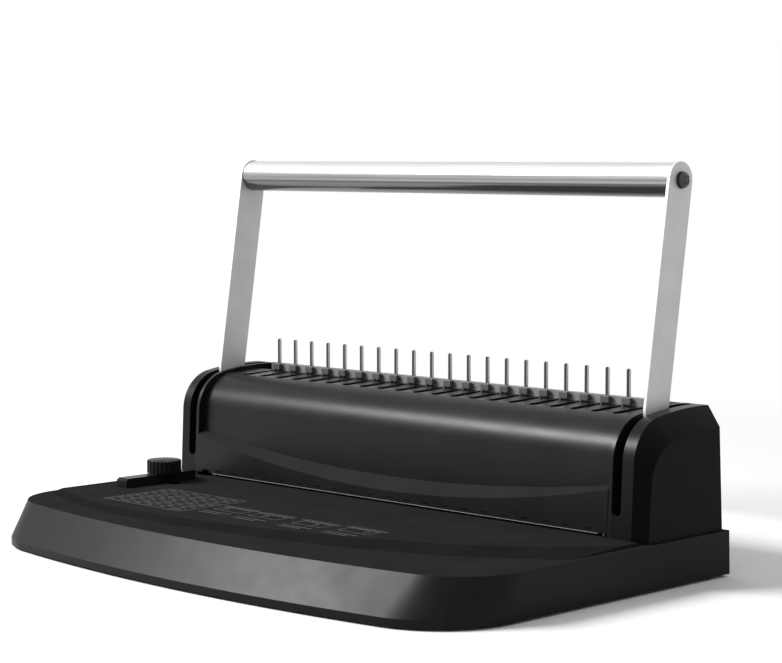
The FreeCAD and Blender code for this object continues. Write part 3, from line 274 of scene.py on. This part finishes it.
def black_oxide_steel(name, colour, light):
    """Blackened screws and washers: dark metal with a dull sheen."""
    material, tree, shader = new_material(name, colour, 0.38, [("Metallic", 0.85)])
    tint(tree, shader, object_noise(tree, 2 * MM), colour, light)
    return material


def sintered_bronze(name):
    """Oil-filled bronze bushes: brownish, with open pores."""
    material, tree, shader = new_material(name, "7a5a34", 0.5, [("Metallic", 0.9)])
    pores = object_noise(tree, 0.4 * MM)
    tint(tree, shader, pores, "5f4526", "8c6a40")
    grain(tree, shader, pores, 0.02 * MM)
    return material


def moulded_rubber(name):
    """Black rubber feet: dull, with a dusty grain."""
    material, tree, shader = new_material(name, "151515", 0.85)
    tint(tree, shader, object_noise(tree, 3 * MM), "111111", "1d1d1d")
    grain(tree, shader, object_noise(tree, 0.4 * MM), 0.02 * MM)
    return material


def screen_print_ink(name):
    """Grey screen-print ink on the paper table: thin and slightly worn."""
    material, tree, shader = new_material(name, "505050", 0.6)
    tint(tree, shader, object_noise(tree, 1.5 * MM), "2a2a2a", "6a6a6a")
    return material


def make_materials():
    grip_low, grip_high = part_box("grip_tube")
    return {
        "moulded_black": spark_eroded_abs("SatinAbsHousing", "0d0d0e", "101011", 0.35, 0.1),
        "cover_abs": spark_eroded_abs("SatinAbsMiddleCover", "0f0f10", "121213", 0.34, 0.15),
        # The caps' flat sides and bevels take darker copies of the housing's ABS: painted shade
        "cap_side_abs": spark_eroded_abs("SatinAbsCapSidePaintedShade", "080809", "0b0b0c", 0.4, 0.05),
        "cap_bevel_abs": shaded_bevel_abs("SatinAbsCapBevelPaintedShade"),
        # Dull black laid on as painted shade: beside the hooks' slots and over the throat's small
        # slots
        "slot_shade": spark_eroded_abs("PaintedSlotShadow", "040404", "070707", 0.8, 0.0),
        "tray_abs": spark_eroded_abs("SatinAbsBase", "040404", "060606", 0.41, 0.12),
        "table_abs": spark_eroded_abs(
            "TexturedAbsTable", "1e1e1e", "222222", 0.75, 0.0, 0.9 * MM, 0.03 * MM
        ),
        "step_abs": spark_eroded_abs("TexturedAbsStep", "171717", "1b1b1b", 0.75, 0.0),
        "recess_abs": spark_eroded_abs("TexturedAbsRecess", "1e1e1e", "222222", 0.75, 0.02),
        "sheet_black": spark_eroded_abs("PlainAbsPlate", "202020", "262626", 0.6),
        "drawer_black": spark_eroded_abs("ChipDrawerAbs", "1c1c1d", "222223", 0.5),
        "guide_black": spark_eroded_abs("GlossyAbsGuide", "121417", "171a1e", 0.3),
        "rubber": moulded_rubber("MouldedRubberFeet"),
        "screw_steel": plated_steel("ZincPlatedScrews", "9c9ca0", "b4b4b8", 0.3),
        "frame_steel": plated_steel("RolledSteelSheet", "808084", "98989c", 0.36),
        "tool_steel": plated_steel("GroundToolSteel", "78787c", "8c8c90", 0.28),
        "bushing_bronze": sintered_bronze("SinteredBronze"),
        # The paint on the fingers has the same black satin and grain as the housing
        "finger_paint": spark_eroded_abs("BlackPaintedFingers", "2c2c2d", "343435", 0.45, 0.15),
        "finger_edge": powder_coated_steel("BareSheetEdge", "b4b4b6", "c4c4c6", 0.35),
        "plate_zinc": powder_coated_steel("ZincPlatedFingerPlate", "6a6a6c", "78787a", 0.4),
        "arm_paint": powder_coated_steel("SilverPowderCoat", "b6b6b7", "bfbfc0", 0.42),
        "lip_paint": powder_coated_steel("PaintedThroatLip", "98989a", "a8a8aa", 0.4),
        "hub_steel": powder_coated_steel("HubPaint", "8c8c8e", "98989a", 0.45),
        "grip_aluminium": drawn_aluminium("DrawnTubePaintedReflections", grip_low.z, grip_high.z),
        "dark_steel": black_oxide_steel("BlackOxideScrew", "3a3a3c", "4a4a4c"),
        "hook_black": powder_coated_steel("PhosphatedHooks", "3c3c3d", "48484a", 0.5),
        # A bright plated finish in the screws' cross recess: a painted glint on the dark head
        "cross_recess": plated_steel("CrossRecessPaintedGlint", "b0b0b4", "d0d0d4", 0.2),
        "ink": screen_print_ink("ScreenPrintInk"),
    }


MATERIALS = make_materials()


def finish_of(node):
    if node == "base_tray":
        return MATERIALS["tray_abs"]
    return MATERIALS[SLOT_OF[node]]


# Mesh helpers

def new_piece(name, form, material, body, smooth=35):
    """Makes an object at the origin from a bmesh, shades it by angle and seats it on its body."""
    mesh = bpy.data.meshes.new(name)
    form.to_mesh(mesh)
    form.free()
    mesh.materials.append(material)
    piece = bpy.data.objects.new(name, mesh)
    bpy.context.scene.collection.objects.link(piece)
    shade_by_angle(mesh, smooth)
    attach(piece, body)
    return piece


def shade_by_angle(mesh, degrees):
    """Smooth faces, with sharp edges where the surface turns more than this."""
    mesh.shade_smooth()
    mesh.set_sharp_from_angle(angle=math.radians(degrees))


def add_bevel(piece, width, segments=3, degrees=28):
    """Rounds the piece's edges, as a mould or a deburred sheet does."""
    bevel = piece.modifiers.new("RoundedEdges", "BEVEL")
    bevel.width = width
    bevel.segments = segments
    bevel.limit_method = "ANGLE"
    bevel.angle_limit = math.radians(degrees)
    bevel.use_clamp_overlap = True
    bevel.harden_normals = True
    even = piece.modifiers.new("EvenShading", "WEIGHTED_NORMAL")
    even.mode = "FACE_AREA_WITH_ANGLE"
    even.keep_sharp = True
    return piece


def cad_copy(node, flat=0.4):
    """A merged copy of a CAD node's mesh, faces that turn less than this joined again."""
    form = bmesh.new()
    form.from_mesh(NODES[node].data)
    bmesh.ops.remove_doubles(form, verts=form.verts, dist=0.001 * MM)
    bmesh.ops.dissolve_limit(
        form, angle_limit=math.radians(flat), verts=form.verts, edges=form.edges, delimit=set()
    )
    return form


def round_node(
    node, width, segments=3, degrees=24, material=None, regions=(), flat=0.4, remake=None
):
    """Replaces a CAD node by the same form with rounded edges and a finish for each region."""
    form = cad_copy(node, flat)
    if remake:
        remake(form)
    for number, (_, belongs) in enumerate(regions, 1):
        for face in form.faces:
            if belongs(face.calc_center_median() / MM, face.normal):
                face.material_index = number
    piece = new_piece(
        node + "_form", form, material or finish_of(node), BODY_OF[node], degrees
    )
    for finish, _ in regions:
        piece.data.materials.append(finish)
    crease_borders(piece.data)
    add_bevel(piece, width, segments, degrees)
    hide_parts(node)
    return piece


def crease_borders(mesh):
    """Keeps the border between two finishes crisp."""
    finishes = {}
    for face in mesh.polygons:
        for key in face.edge_keys:
            finishes.setdefault(key, set()).add(face.material_index)
    for edge in mesh.edges:
        if len(finishes.get(edge.key, ())) > 1:
            edge.use_edge_sharp = True


def paint_nodes():
    """Gives every CAD node its own finish."""
    for node, thing in NODES.items():
        thing.data.materials.clear()
        thing.data.materials.append(finish_of(node))


# Moulded, sheet and turned pieces, rounded as they leave the mould or the press

# Each region takes a face's middle in millimetres and its normal.
# The base's flat border is 24 mm high and the paper table 25.6 mm, with a sloped step between.
STEP_FOOT = 24.05
STEP_BROW = 25.55


def on_table(place, normal):
    flat = normal.z > 0.9995
    return flat and (place.z > STEP_BROW or STEP_FOOT - 0.55 < place.z < STEP_FOOT)


def on_table_step(place, normal):
    return STEP_FOOT < place.z < STEP_BROW and normal.z > 0.05


def on_ledge(place, normal):
    """The curved ledge across the front of the middle cover."""
    return place.y < 50.5 and 30 < place.z < 53 and normal.z > 0.3


def on_cap_side(place, normal):
    """The flat outer side of a cap, which takes a darker copy of the ABS as painted shade."""
    return abs(normal.x) > 0.98 and abs(place.x) > 175


def on_cap_bevel(place, normal):
    """The cap's bevel, from its foot at the front over the top."""
    return 0.25 < abs(normal.x) < 0.98 and abs(place.x) > 165


def on_cut_sides(place, normal):
    """The sides of a finger, bare where the sheet was cut."""
    return abs(normal.x) > 0.6


def on_upper_edge(place, normal):
    """The upper edge of the finger plate, painted like the fingers."""
    return normal.z > 0.8


def walk(edges):
    """The corners of an open run of edges in their order, from the left end."""
    ends = [vert for edge in edges for vert in edge.verts]
    here = min((vert for vert in ends if ends.count(vert) == 1), key=lambda vert: vert.co.x)
    path, waiting = [here], set(edges)
    while waiting:
        edge = next(edge for edge in path[-1].link_edges if edge in waiting)
        waiting.remove(edge)
        path.append(edge.other_vert(path[-1]))
    return path


LONGEST_CORNER_STEP = 10 * MM


def corner_of(path):
    """The part of a run that rounds a corner: its first short steps."""
    for number, (vert, other) in enumerate(zip(path, path[1:])):
        if (other.co - vert.co).length > LONGEST_CORNER_STEP:
            return path[:number + 1]


def space_on_arc(corner):
    """Spreads the corners of a round run evenly over its arc."""
    first, last = corner[0].co, corner[-1].co
    middle = corner[len(corner) // 2].co
    chord, half = last - first, middle - first
    area = 2 * (chord.x * half.y - chord.y * half.x)
    away_x = (half.y * chord.length_squared - chord.y * half.length_squared) / area
    away_y = (chord.x * half.length_squared - half.x * chord.length_squared) / area
    centre = first + Vector((away_x, away_y, 0))
    start, end = first - centre, last - centre
    whole = start.xy.angle_signed(end.xy)
    for number, vert in enumerate(corner[1:-1], 1):
        turn = Matrix.Rotation(-whole * number / (len(corner) - 1), 3, "Z")
        vert.co = centre + turn @ start


SLOPE_FOOT = 4.99 * MM
SLOPE_BROW = 24.01 * MM


def even_slope(form):
    """Lays the bowed slope of the base anew, as one even strip from its foot to its brow."""
    low, high = SLOPE_FOOT, SLOPE_BROW
    slope = []
    for face in form.faces:
        inside = all(low < vert.co.z < high for vert in face.verts)
        if inside and face.normal.z > 0.02 and face.normal.y < -0.005:
            slope.append(face)
    bmesh.ops.delete(form, geom=slope, context="FACES")
    free = [vert for vert in form.verts if vert.is_boundary and low + MM < vert.co.z < high - MM]
    bmesh.ops.dissolve_verts(form, verts=free)
    runs = []
    for level in (low, high):
        run = []
        for edge in form.edges:
            if edge.is_boundary and all(abs(vert.co.z - level) < 0.1 * MM for vert in edge.verts):
                run.append(edge)
        runs.append(run)
    foot, brow = walk(runs[0]), walk(runs[1])
    for turned in (False, True):
        if turned:
            foot.reverse()
            brow.reverse()
        target = len(corner_of(foot))
        while len(corner_of(brow)) < target:
            edge = form.edges.get(brow[:2])
            _, vert = bmesh.utils.edge_split(edge, brow[0], 0.5)
            brow.insert(1, vert)
        space_on_arc(corner_of(brow))
    edges = [form.edges.get(pair) for path in (foot, brow) for pair in zip(path, path[1:])]
    bmesh.ops.bridge_loops(form, edges=edges)
    bmesh.ops.recalc_face_normals(form, faces=form.faces)


def dress_base():
    regions = [
        (MATERIALS["table_abs"], on_table),
        (MATERIALS["step_abs"], on_table_step),
    ]
    round_node("base_tray", 0.9 * MM, 3, regions=regions, flat=0.01, remake=even_slope)
    round_node("bottom_plate", 0.3 * MM, 2)
    round_node("rubber_feet", 0.5 * MM, 3)
    round_node("chip_drawer", 0.5 * MM, 3)


def dress_housing():
    regions = [(MATERIALS["recess_abs"], on_ledge)]
    cover = MATERIALS["cover_abs"]
    round_node("front_cover", 0.7 * MM, 3, material=cover, regions=regions)
    round_node("rear_cover", 0.6 * MM, 3)
    # The caps' sides and bevels get darker copies of the ABS, painted shade
    regions = [
        (MATERIALS["cap_side_abs"], on_cap_side),
        (MATERIALS["cap_bevel_abs"], on_cap_bevel),
    ]
    round_node("left_end_cap", 1.2 * MM, 4, regions=regions)
    round_node("right_end_cap", 1.2 * MM, 4, regions=regions)
    round_node("throat_lip", 0.12 * MM, 2, material=MATERIALS["lip_paint"])
    round_node("paper_stop", 0.2 * MM, 2)


def dress_lever():
    for side in ("left", "right"):
        round_node(side + "_arm", 0.35 * MM, 3)
        round_node(side + "_hub", 0.3 * MM, 2)
    round_node("grip_tube", 0.25 * MM, 2)


def dress_fingers():
    plate = MATERIALS["plate_zinc"]
    regions = [(MATERIALS["finger_paint"], on_upper_edge)]
    round_node("finger_plate", 0.25 * MM, 2, material=plate, regions=regions)
    regions = [(MATERIALS["finger_edge"], on_cut_sides)]
    round_node("comb_fingers", 0.3 * MM, 3, regions=regions)
    round_node("comb_hooks", 0.3 * MM, 3)
    round_node("hook_plate", 0.2 * MM, 2)


SLOT_HALF = 1.95 * MM
SLOT_ASIDE = 2.1 * MM  # from a finger's middle to that of its hook's slot
SLOT_FRONT = 71.1 * MM  # centre of the slot's round front end
SLOT_REAR = 88
SHADOW_STEP = 2.1
SHADOW_LIFT = 0.03 * MM


def make_slot_painted_shadows():
    """Painted shadow beside the hooks' slots: thin dull black wedges along each slot's left side,
    widening to its round front end and tapering round it, laid on the curved deck.
    """
    cover = cad_copy("front_cover")
    deck = BVHTree.FromBMesh(cover)
    form = bmesh.new()
    for low, high in islands("comb_fingers"):
        middle = (low.x + high.x) / 2 - SLOT_ASIDE
        inner, outer = [], []
        for step in range(9):
            back = (SLOT_REAR - SHADOW_STEP * step) * MM
            width = (0.4 + 0.28 * step) * MM
            inner.append((middle - SLOT_HALF, back))
            outer.append((middle - SLOT_HALF - width, back))
        for step in range(1, 8):
            angle = math.radians(180 + 22 * step)
            width = (2.6 - 0.34 * step) * MM
            for row, far in ((inner, SLOT_HALF), (outer, SLOT_HALF + width)):
                row.append((middle + far * math.cos(angle), SLOT_FRONT + far * math.sin(angle)))
        rows = []
        for row in (inner, outer):
            verts = []
            for x, y in row:
                hit = deck.ray_cast(Vector((x, y, 0.12)), Vector((0, 0, -1)))[0]
                height = hit.z if hit and hit.z > 84 * MM else 86 * MM
                verts.append(form.verts.new((x, y, height + SHADOW_LIFT)))
            rows += [form.edges.new(pair) for pair in zip(verts, verts[1:])]
        bmesh.ops.bridge_loops(form, edges=rows)
    cover.free()
    bmesh.ops.recalc_face_normals(form, faces=form.faces)
    for face in form.faces:
        if face.normal.z < 0:
            face.normal_flip()
    piece = new_piece("slot_painted_shadows", form, MATERIALS["slot_shade"], "frame")
    wall = piece.modifiers.new("Wall", "SOLIDIFY")
    wall.thickness = 0.15 * MM
    wall.offset = -1


MARK_LEVEL = 29.2 * MM
MARK_SIZE = (4.6 * MM, 0.1 * MM, 0.5 * MM)


def make_throat_marks():
    """A short dark mark above the throat for each punch, half sunk in the cover's front: painted
    shade in place of a small slot there.
    """
    cover = cad_copy("front_cover")
    front = BVHTree.FromBMesh(cover)
    form = bmesh.new()
    for low, high in islands("punches"):
        start = Vector(((low.x + high.x) / 2, -0.1, MARK_LEVEL))
        hit = front.ray_cast(start, Vector((0, 1, 0)))[0]
        if hit:
            size = Matrix.Diagonal((*MARK_SIZE, 1))
            bmesh.ops.create_cube(form, size=1, matrix=Matrix.Translation(hit) @ size)
    cover.free()
    piece = new_piece("throat_marks", form, MATERIALS["slot_shade"], "frame")
    add_bevel(piece, 0.03 * MM, 2)


def islands(node):
    """The lowest and highest corner of each loose part of a CAD node."""
    form = cad_copy(node)
    waiting = set(form.verts)
    boxes = []
    while waiting:
        front = [waiting.pop()]
        part = []
        while front:
            vert = front.pop()
            part.append(vert.co.copy())
            for edge in vert.link_edges:
                other = edge.other_vert(vert)
                if other in waiting:
                    waiting.remove(other)
                    front.append(other)
        low = Vector([min(spot[axis] for spot in part) for axis in range(3)])
        high = Vector([max(spot[axis] for spot in part) for axis in range(3)])
        boxes.append((low, high))
    form.free()
    return sorted(boxes, key=lambda box: tuple(box[0]))


# Print on the paper table: plain lines and pictograms, no words. Its places are in millimetres.

TABLE_TOP = 25.6 * MM
CHART_LEFT, CHART_FRONT = -128, -54
CHART_COLUMNS, CHART_ROWS = 6, 8
COLUMN_WIDTH, ROW_DEPTH = 11, 6


def ink_stroke(form, start, end, width=0.35):
    """A thin stroke of ink between two points of the table, in millimetres."""
    start, end = Vector(start) * MM, Vector(end) * MM
    run = end - start
    turn = Matrix.Rotation(math.atan2(run.y, run.x), 4, "Z")
    size = Matrix.Diagonal((run.length + width * MM, width * MM, 0.04 * MM, 1))
    middle = (start + end) / 2
    place = Matrix.Translation((middle.x, middle.y, TABLE_TOP + 0.01 * MM))
    bmesh.ops.create_cube(form, size=1, matrix=place @ turn @ size)


def ink_frame(form, corner, size, width=0.35):
    left, front = corner
    right, back = left + size[0], front + size[1]
    ink_stroke(form, (left, front), (right, front), width)
    ink_stroke(form, (right, front), (right, back), width)
    ink_stroke(form, (right, back), (left, back), width)
    ink_stroke(form, (left, back), (left, front), width)


def print_size_chart(form):
    """A chart of ruled rows with plain dashes in its cells."""
    width, depth = CHART_COLUMNS * COLUMN_WIDTH, CHART_ROWS * ROW_DEPTH
    right, back = CHART_LEFT + width, CHART_FRONT + depth
    ink_frame(form, (CHART_LEFT, CHART_FRONT), (width, depth), 0.35)
    for row in range(1, CHART_ROWS):
        y = CHART_FRONT + ROW_DEPTH * row
        ink_stroke(form, (CHART_LEFT, y), (right, y), 0.25)
    for column in range(1, CHART_COLUMNS):
        x = CHART_LEFT + COLUMN_WIDTH * column
        ink_stroke(form, (x, CHART_FRONT), (x, back), 0.2)
    for row in range(CHART_ROWS):
        y = CHART_FRONT + ROW_DEPTH * (row + 0.5)
        for column in range(CHART_COLUMNS):
            x = CHART_LEFT + COLUMN_WIDTH * column + 2
            long = 3.0 + 1.1 * ((row * 5 + column * 3) % 4)
            ink_stroke(form, (x, y), (x + long, y), 0.6)


def print_pictogram(form, left, front, step):
    """A sheet, the machine's bar and an arrow, for one step of the work."""
    ink_frame(form, (left + 3, front), (22, 9), 0.35)
    ink_stroke(form, (left, front + 11), (left + 28, front + 11), 0.7)
    for number in range(9):
        x = left + 2 + 3 * number
        ink_stroke(form, (x, front + 12.6), (x, front + 14.2), 0.35)
    tip = (left + 8 + 4 * step, front + 7)
    ink_stroke(form, (tip[0], front + 2), tip, 0.4)
    ink_stroke(form, (tip[0] - 1.8, tip[1] - 1.8), tip, 0.4)
    ink_stroke(form, (tip[0] + 1.8, tip[1] - 1.8), tip, 0.4)
    for row in range(2):
        y = front - 6 - 3.5 * row
        ink_stroke(form, (left + 2, y), (left + 24 - 5 * row, y), 0.5)


def make_print():
    form = bmesh.new()
    print_size_chart(form)
    for step, (left, front) in enumerate(((-58, -36), (-29, -37), (6, -37), (38, -35))):
        print_pictogram(form, left, front, step)
    new_piece("table_print", form, MATERIALS["ink"], "frame")


KNOB_FOOT = 31.3 * MM
KNOB_SHOULDER = 39.0 * MM
STUD_RADIUS = 2.3 * MM
FLUTE_TURN = 15  # degrees from flute to flute
FLUTE_HALF = 1.9


def make_knob():
    """A round knob with 24 flutes and a slightly domed top on its stud."""
    low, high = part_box("guide_knob")
    centre = (low + high) / 2
    radius = (high.x - low.x) / 2
    form = bmesh.new()
    bmesh.ops.create_cone(
        form,
        cap_ends=True,
        segments=96,
        radius1=radius,
        radius2=radius,
        depth=KNOB_SHOULDER - KNOB_FOOT,
        matrix=Matrix.Translation((0, 0, (KNOB_SHOULDER + KNOB_FOOT) / 2)),
    )
    top = max(form.faces, key=lambda face: face.calc_center_median().z)
    bmesh.ops.bevel(
        form,
        geom=list(top.edges),
        offset=0.9 * MM,
        offset_type="OFFSET",
        segments=3,
        profile=0.5,
        affect="EDGES",
        material=-1,
    )
    top = max(form.faces, key=lambda face: face.calc_center_median().z)
    bmesh.ops.inset_region(form, faces=[top], thickness=1.1 * MM, depth=-0.25 * MM)
    bmesh.ops.inset_region(form, faces=[top], thickness=2.5 * MM, depth=0.7 * MM)
    bmesh.ops.inset_region(form, faces=[top], thickness=3.0 * MM, depth=0.35 * MM)
    for vert in form.verts:
        turn = math.degrees(math.atan2(vert.co.y, vert.co.x)) % FLUTE_TURN
        reach = Vector((vert.co.x, vert.co.y)).length
        in_flute = turn < FLUTE_HALF or turn > FLUTE_TURN - FLUTE_HALF
        if reach > 0.88 * radius and in_flute:
            vert.co.x *= 0.92
            vert.co.y *= 0.92
    bmesh.ops.create_cone(
        form,
        cap_ends=True,
        segments=24,
        radius1=STUD_RADIUS,
        radius2=STUD_RADIUS,
        depth=KNOB_FOOT - low.z + 0.4 * MM,
        matrix=Matrix.Translation((0, 0, (KNOB_FOOT + low.z) / 2 + 0.2 * MM)),
    )
    bmesh.ops.translate(form, verts=form.verts, vec=(centre.x, centre.y, 0))
    piece = new_piece("knob_fluted", form, finish_of("guide_knob"), "knob")
    add_bevel(piece, 0.12 * MM, 2)
    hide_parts("guide_knob")


def dress_guide():
    round_node("edge_guide", 0.4 * MM, 3)
    make_knob()


def screw_form(radius, height, shank, reach):
    """A domed head on its shank, along +Z with the head's seat at zero.

    A cross is sunk into the head, its faces on the second finish as a painted glint. The faces
    that it starts from stay in place over it.
    """
    form = bmesh.new()
    bmesh.ops.create_grid(form, x_segments=5, y_segments=5, size=1)
    recess = []
    for face in form.faces:
        middle = face.calc_center_median()
        near, far = sorted((abs(middle.x), abs(middle.y)))
        if near < 0.1 and far < 0.5:
            recess.append(face)
    for vert in form.verts:
        ring = max(abs(vert.co.x), abs(vert.co.y))
        if ring > 0.9:
            vert.co = vert.co.normalized() * radius
            vert.co.z = 0.4 * height
            continue
        for axis in (0, 1):
            size = 0.13 if abs(vert.co[axis]) < 0.4 else 0.5
            vert.co[axis] = math.copysign(size * radius, vert.co[axis])
        vert.co.z = height
    sunk = bmesh.ops.extrude_face_region(form, geom=recess)["geom"]
    floor = [item for item in sunk if isinstance(item, bmesh.types.BMVert)]
    for vert in floor:
        vert.co = (0.8 * vert.co.x, 0.8 * vert.co.y, 0.45 * height)
        for face in vert.link_faces:
            # The recess takes the bright second finish, a painted glint
            face.material_index = 1
    rim = [edge for edge in form.edges if edge.is_boundary]
    wall = bmesh.ops.extrude_edge_only(form, edges=rim)["geom"]
    for vert in (item for item in wall if isinstance(item, bmesh.types.BMVert)):
        vert.co.z = 0
    bmesh.ops.holes_fill(form, edges=[edge for edge in form.edges if edge.is_boundary], sides=0)
    bmesh.ops.create_cone(
        form,
        cap_ends=True,
        segments=16,
        radius1=shank,
        radius2=shank,
        depth=reach,
        matrix=Matrix.Translation((0, 0, 0.1 * MM - reach / 2)),
    )
    bmesh.ops.recalc_face_normals(form, faces=form.faces)
    return form


def make_screws(node, axis, outward, height, shank):
    """Domed screws in place of a node's plain ones, their heads outward along an axis."""
    form = bmesh.new()
    across = (axis + 1) % 3
    for low, high in islands(node):
        sign = outward or math.copysign(1, low[axis])
        outer, inner = (high[axis], low[axis]) if sign > 0 else (low[axis], high[axis])
        seat = (low + high) / 2
        seat[axis] = outer - sign * height
        heading = Vector((0, 0, 0))
        heading[axis] = sign
        radius = (high[across] - low[across]) / 2
        screw = screw_form(radius, height, shank, abs(seat[axis] - inner))
        turn = heading.to_track_quat("Z", "Y").to_matrix().to_4x4()
        screw.transform(Matrix.Translation(seat) @ turn)
        mesh = bpy.data.meshes.new("screw")
        screw.to_mesh(mesh)
        screw.free()
        form.from_mesh(mesh)
        bpy.data.meshes.remove(mesh)
    piece = new_piece(node + "_crossed", form, finish_of(node), BODY_OF[node])
    # The second finish, for the cross recess, is a painted glint
    piece.data.materials.append(MATERIALS["cross_recess"])
    add_bevel(piece, 0.15 * MM, 2)
    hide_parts(node)


def dress_fasteners():
    for node in ("cover_screws", "frame_screws", "grip_washers"):
        round_node(node, 0.2 * MM, 2)
    make_screws("grip_screws", 0, 0, 2.6 * MM, 2.0 * MM)
    make_screws("bottom_screws", 2, -1, 1.4 * MM, 1.4 * MM)


# Studio

CAMERA_PLACE = Vector((0.8499, -0.8115, 0.2172))
CAMERA_AZIMUTH = 44.75
CAMERA_DROP = 4.56
CAMERA_LENS = 101.43


def make_camera():
    data = bpy.data.cameras.new("PhotoCamera")
    data.lens = CAMERA_LENS
    data.sensor_width = 36.0
    data.clip_end = 50
    camera = bpy.data.objects.new("PhotoCamera", data)
    azimuth = math.radians(CAMERA_AZIMUTH)
    drop = math.radians(CAMERA_DROP)
    look = Vector(
        (-math.sin(azimuth) * math.cos(drop), math.cos(azimuth) * math.cos(drop), -math.sin(drop))
    )
    camera.location = CAMERA_PLACE
    camera.rotation_mode = "QUATERNION"
    camera.rotation_quaternion = look.to_track_quat("-Z", "Y")
    bpy.context.scene.collection.objects.link(camera)
    bpy.context.scene.camera = camera


def add_softbox(name, place, target, width, height, power, along=None):
    """A rectangular soft lamp that faces its target, its long side along a direction."""
    data = bpy.data.lights.new(name, "AREA")
    data.shape = "RECTANGLE"
    data.size = width
    data.size_y = height
    data.energy = power
    lamp = bpy.data.objects.new(name, data)
    lamp.location = place
    lamp.rotation_mode = "QUATERNION"
    toward = (Vector(target) - Vector(place)).normalized()
    lamp.rotation_quaternion = toward.to_track_quat("-Z", "Y")
    if along:
        side = (Vector(along) - toward * toward.dot(Vector(along))).normalized()
        up = (-toward).cross(side)
        lamp.rotation_quaternion = Matrix((side, up, -toward)).transposed().to_quaternion()
    bpy.context.scene.collection.objects.link(lamp)


def make_lights():
    """A long key lamp at the left front, for the slope's and the cover's highlight, and a fill."""
    place, along = (-1.0, -1.14, 1.24), (0.9, -0.28, 0.31)
    add_softbox("KeySoftbox", place, (0, 0, 0.03), 0.85, 0.42, 68, along)
    add_softbox("TopSoftbox", (-0.3, 0.3, 2.0), (0, 0, 0), 1.6, 1.0, 4)


def seen_or_mirrored(tree):
    """1 for rays from the camera and for rays that metal or glass sends on, otherwise 0."""
    rays = add_node(tree, "ShaderNodeLightPath")
    mirrored = add_node(
        tree,
        "ShaderNodeMath",
        [("operation", "MAXIMUM")],
        [(0, rays.outputs["Is Glossy Ray"]), (1, rays.outputs["Is Transmission Ray"])],
    )
    seen = add_node(
        tree,
        "ShaderNodeMath",
        [("operation", "MAXIMUM")],
        [(0, rays.outputs["Is Camera Ray"]), (1, mirrored.outputs[0])],
    )
    return seen.outputs[0]


def make_world():
    """White for the camera and in reflections, softer for the light that it gives."""
    world = bpy.data.worlds.new("Studio")
    bpy.context.scene.world = world
    world.use_nodes = True
    tree = world.node_tree
    tree.nodes.clear()
    seen = seen_or_mirrored(tree)
    white = linear("ffffff")
    ambient = add_node(tree, "ShaderNodeBackground", [("Color", white), ("Strength", 0.66)])
    backdrop = add_node(tree, "ShaderNodeBackground", [("Color", white), ("Strength", 1.0)])
    mixed = add_node(
        tree,
        "ShaderNodeMixShader",
        links=[(0, seen), (1, ambient.outputs[0]), (2, backdrop.outputs[0])],
    )
    add_node(tree, "ShaderNodeOutputWorld", links=[("Surface", mixed.outputs[0])])


def floor_paint():
    """Matt white paint that takes the shadow and runs out into the white of the backdrop."""
    material, tree, shader = new_material("MattWhiteFloorPaint", "d4d4d4", 0.9)
    place = add_node(tree, "ShaderNodeTexCoord")
    reach = add_node(
        tree, "ShaderNodeVectorMath", [("operation", "LENGTH")], [(0, place.outputs["Object"])]
    )
    far = add_node(
        tree,
        "ShaderNodeMapRange",
        [("interpolation_type", "SMOOTHSTEP"), ("From Min", 0.35), ("From Max", 0.95)],
        [("Value", reach.outputs["Value"])],
    )
    share = add_node(
        tree,
        "ShaderNodeMath",
        [("operation", "MULTIPLY")],
        [(0, far.outputs["Result"]), (1, seen_or_mirrored(tree))],
    )
    glow = add_node(tree, "ShaderNodeEmission", [("Color", linear("ffffff")), ("Strength", 1.0)])
    mixed = add_node(
        tree,
        "ShaderNodeMixShader",
        links=[(0, share.outputs[0]), (1, shader.outputs[0]), (2, glow.outputs[0])],
    )
    output = next(node for node in tree.nodes if node.type == "OUTPUT_MATERIAL")
    tree.links.new(mixed.outputs[0], output.inputs["Surface"])
    return material


def make_floor():
    """A wide white floor that keeps the shadow."""
    form = bmesh.new()
    bmesh.ops.create_grid(form, x_segments=1, y_segments=1, size=8)
    bmesh.ops.translate(form, verts=form.verts, vec=(0, 0, -0.0001))
    mesh = bpy.data.meshes.new("StudioFloor")
    form.to_mesh(mesh)
    form.free()
    mesh.materials.append(floor_paint())
    floor = bpy.data.objects.new("StudioFloor", mesh)
    bpy.context.scene.collection.objects.link(floor)


make_camera()
make_lights()
make_world()
make_floor()
paint_nodes()
dress_base()
dress_housing()
dress_lever()
dress_fingers()
dress_guide()
dress_fasteners()
make_slot_painted_shadows()
make_throat_marks()
make_print()

bpy.context.scene.view_settings.view_transform = "Standard"
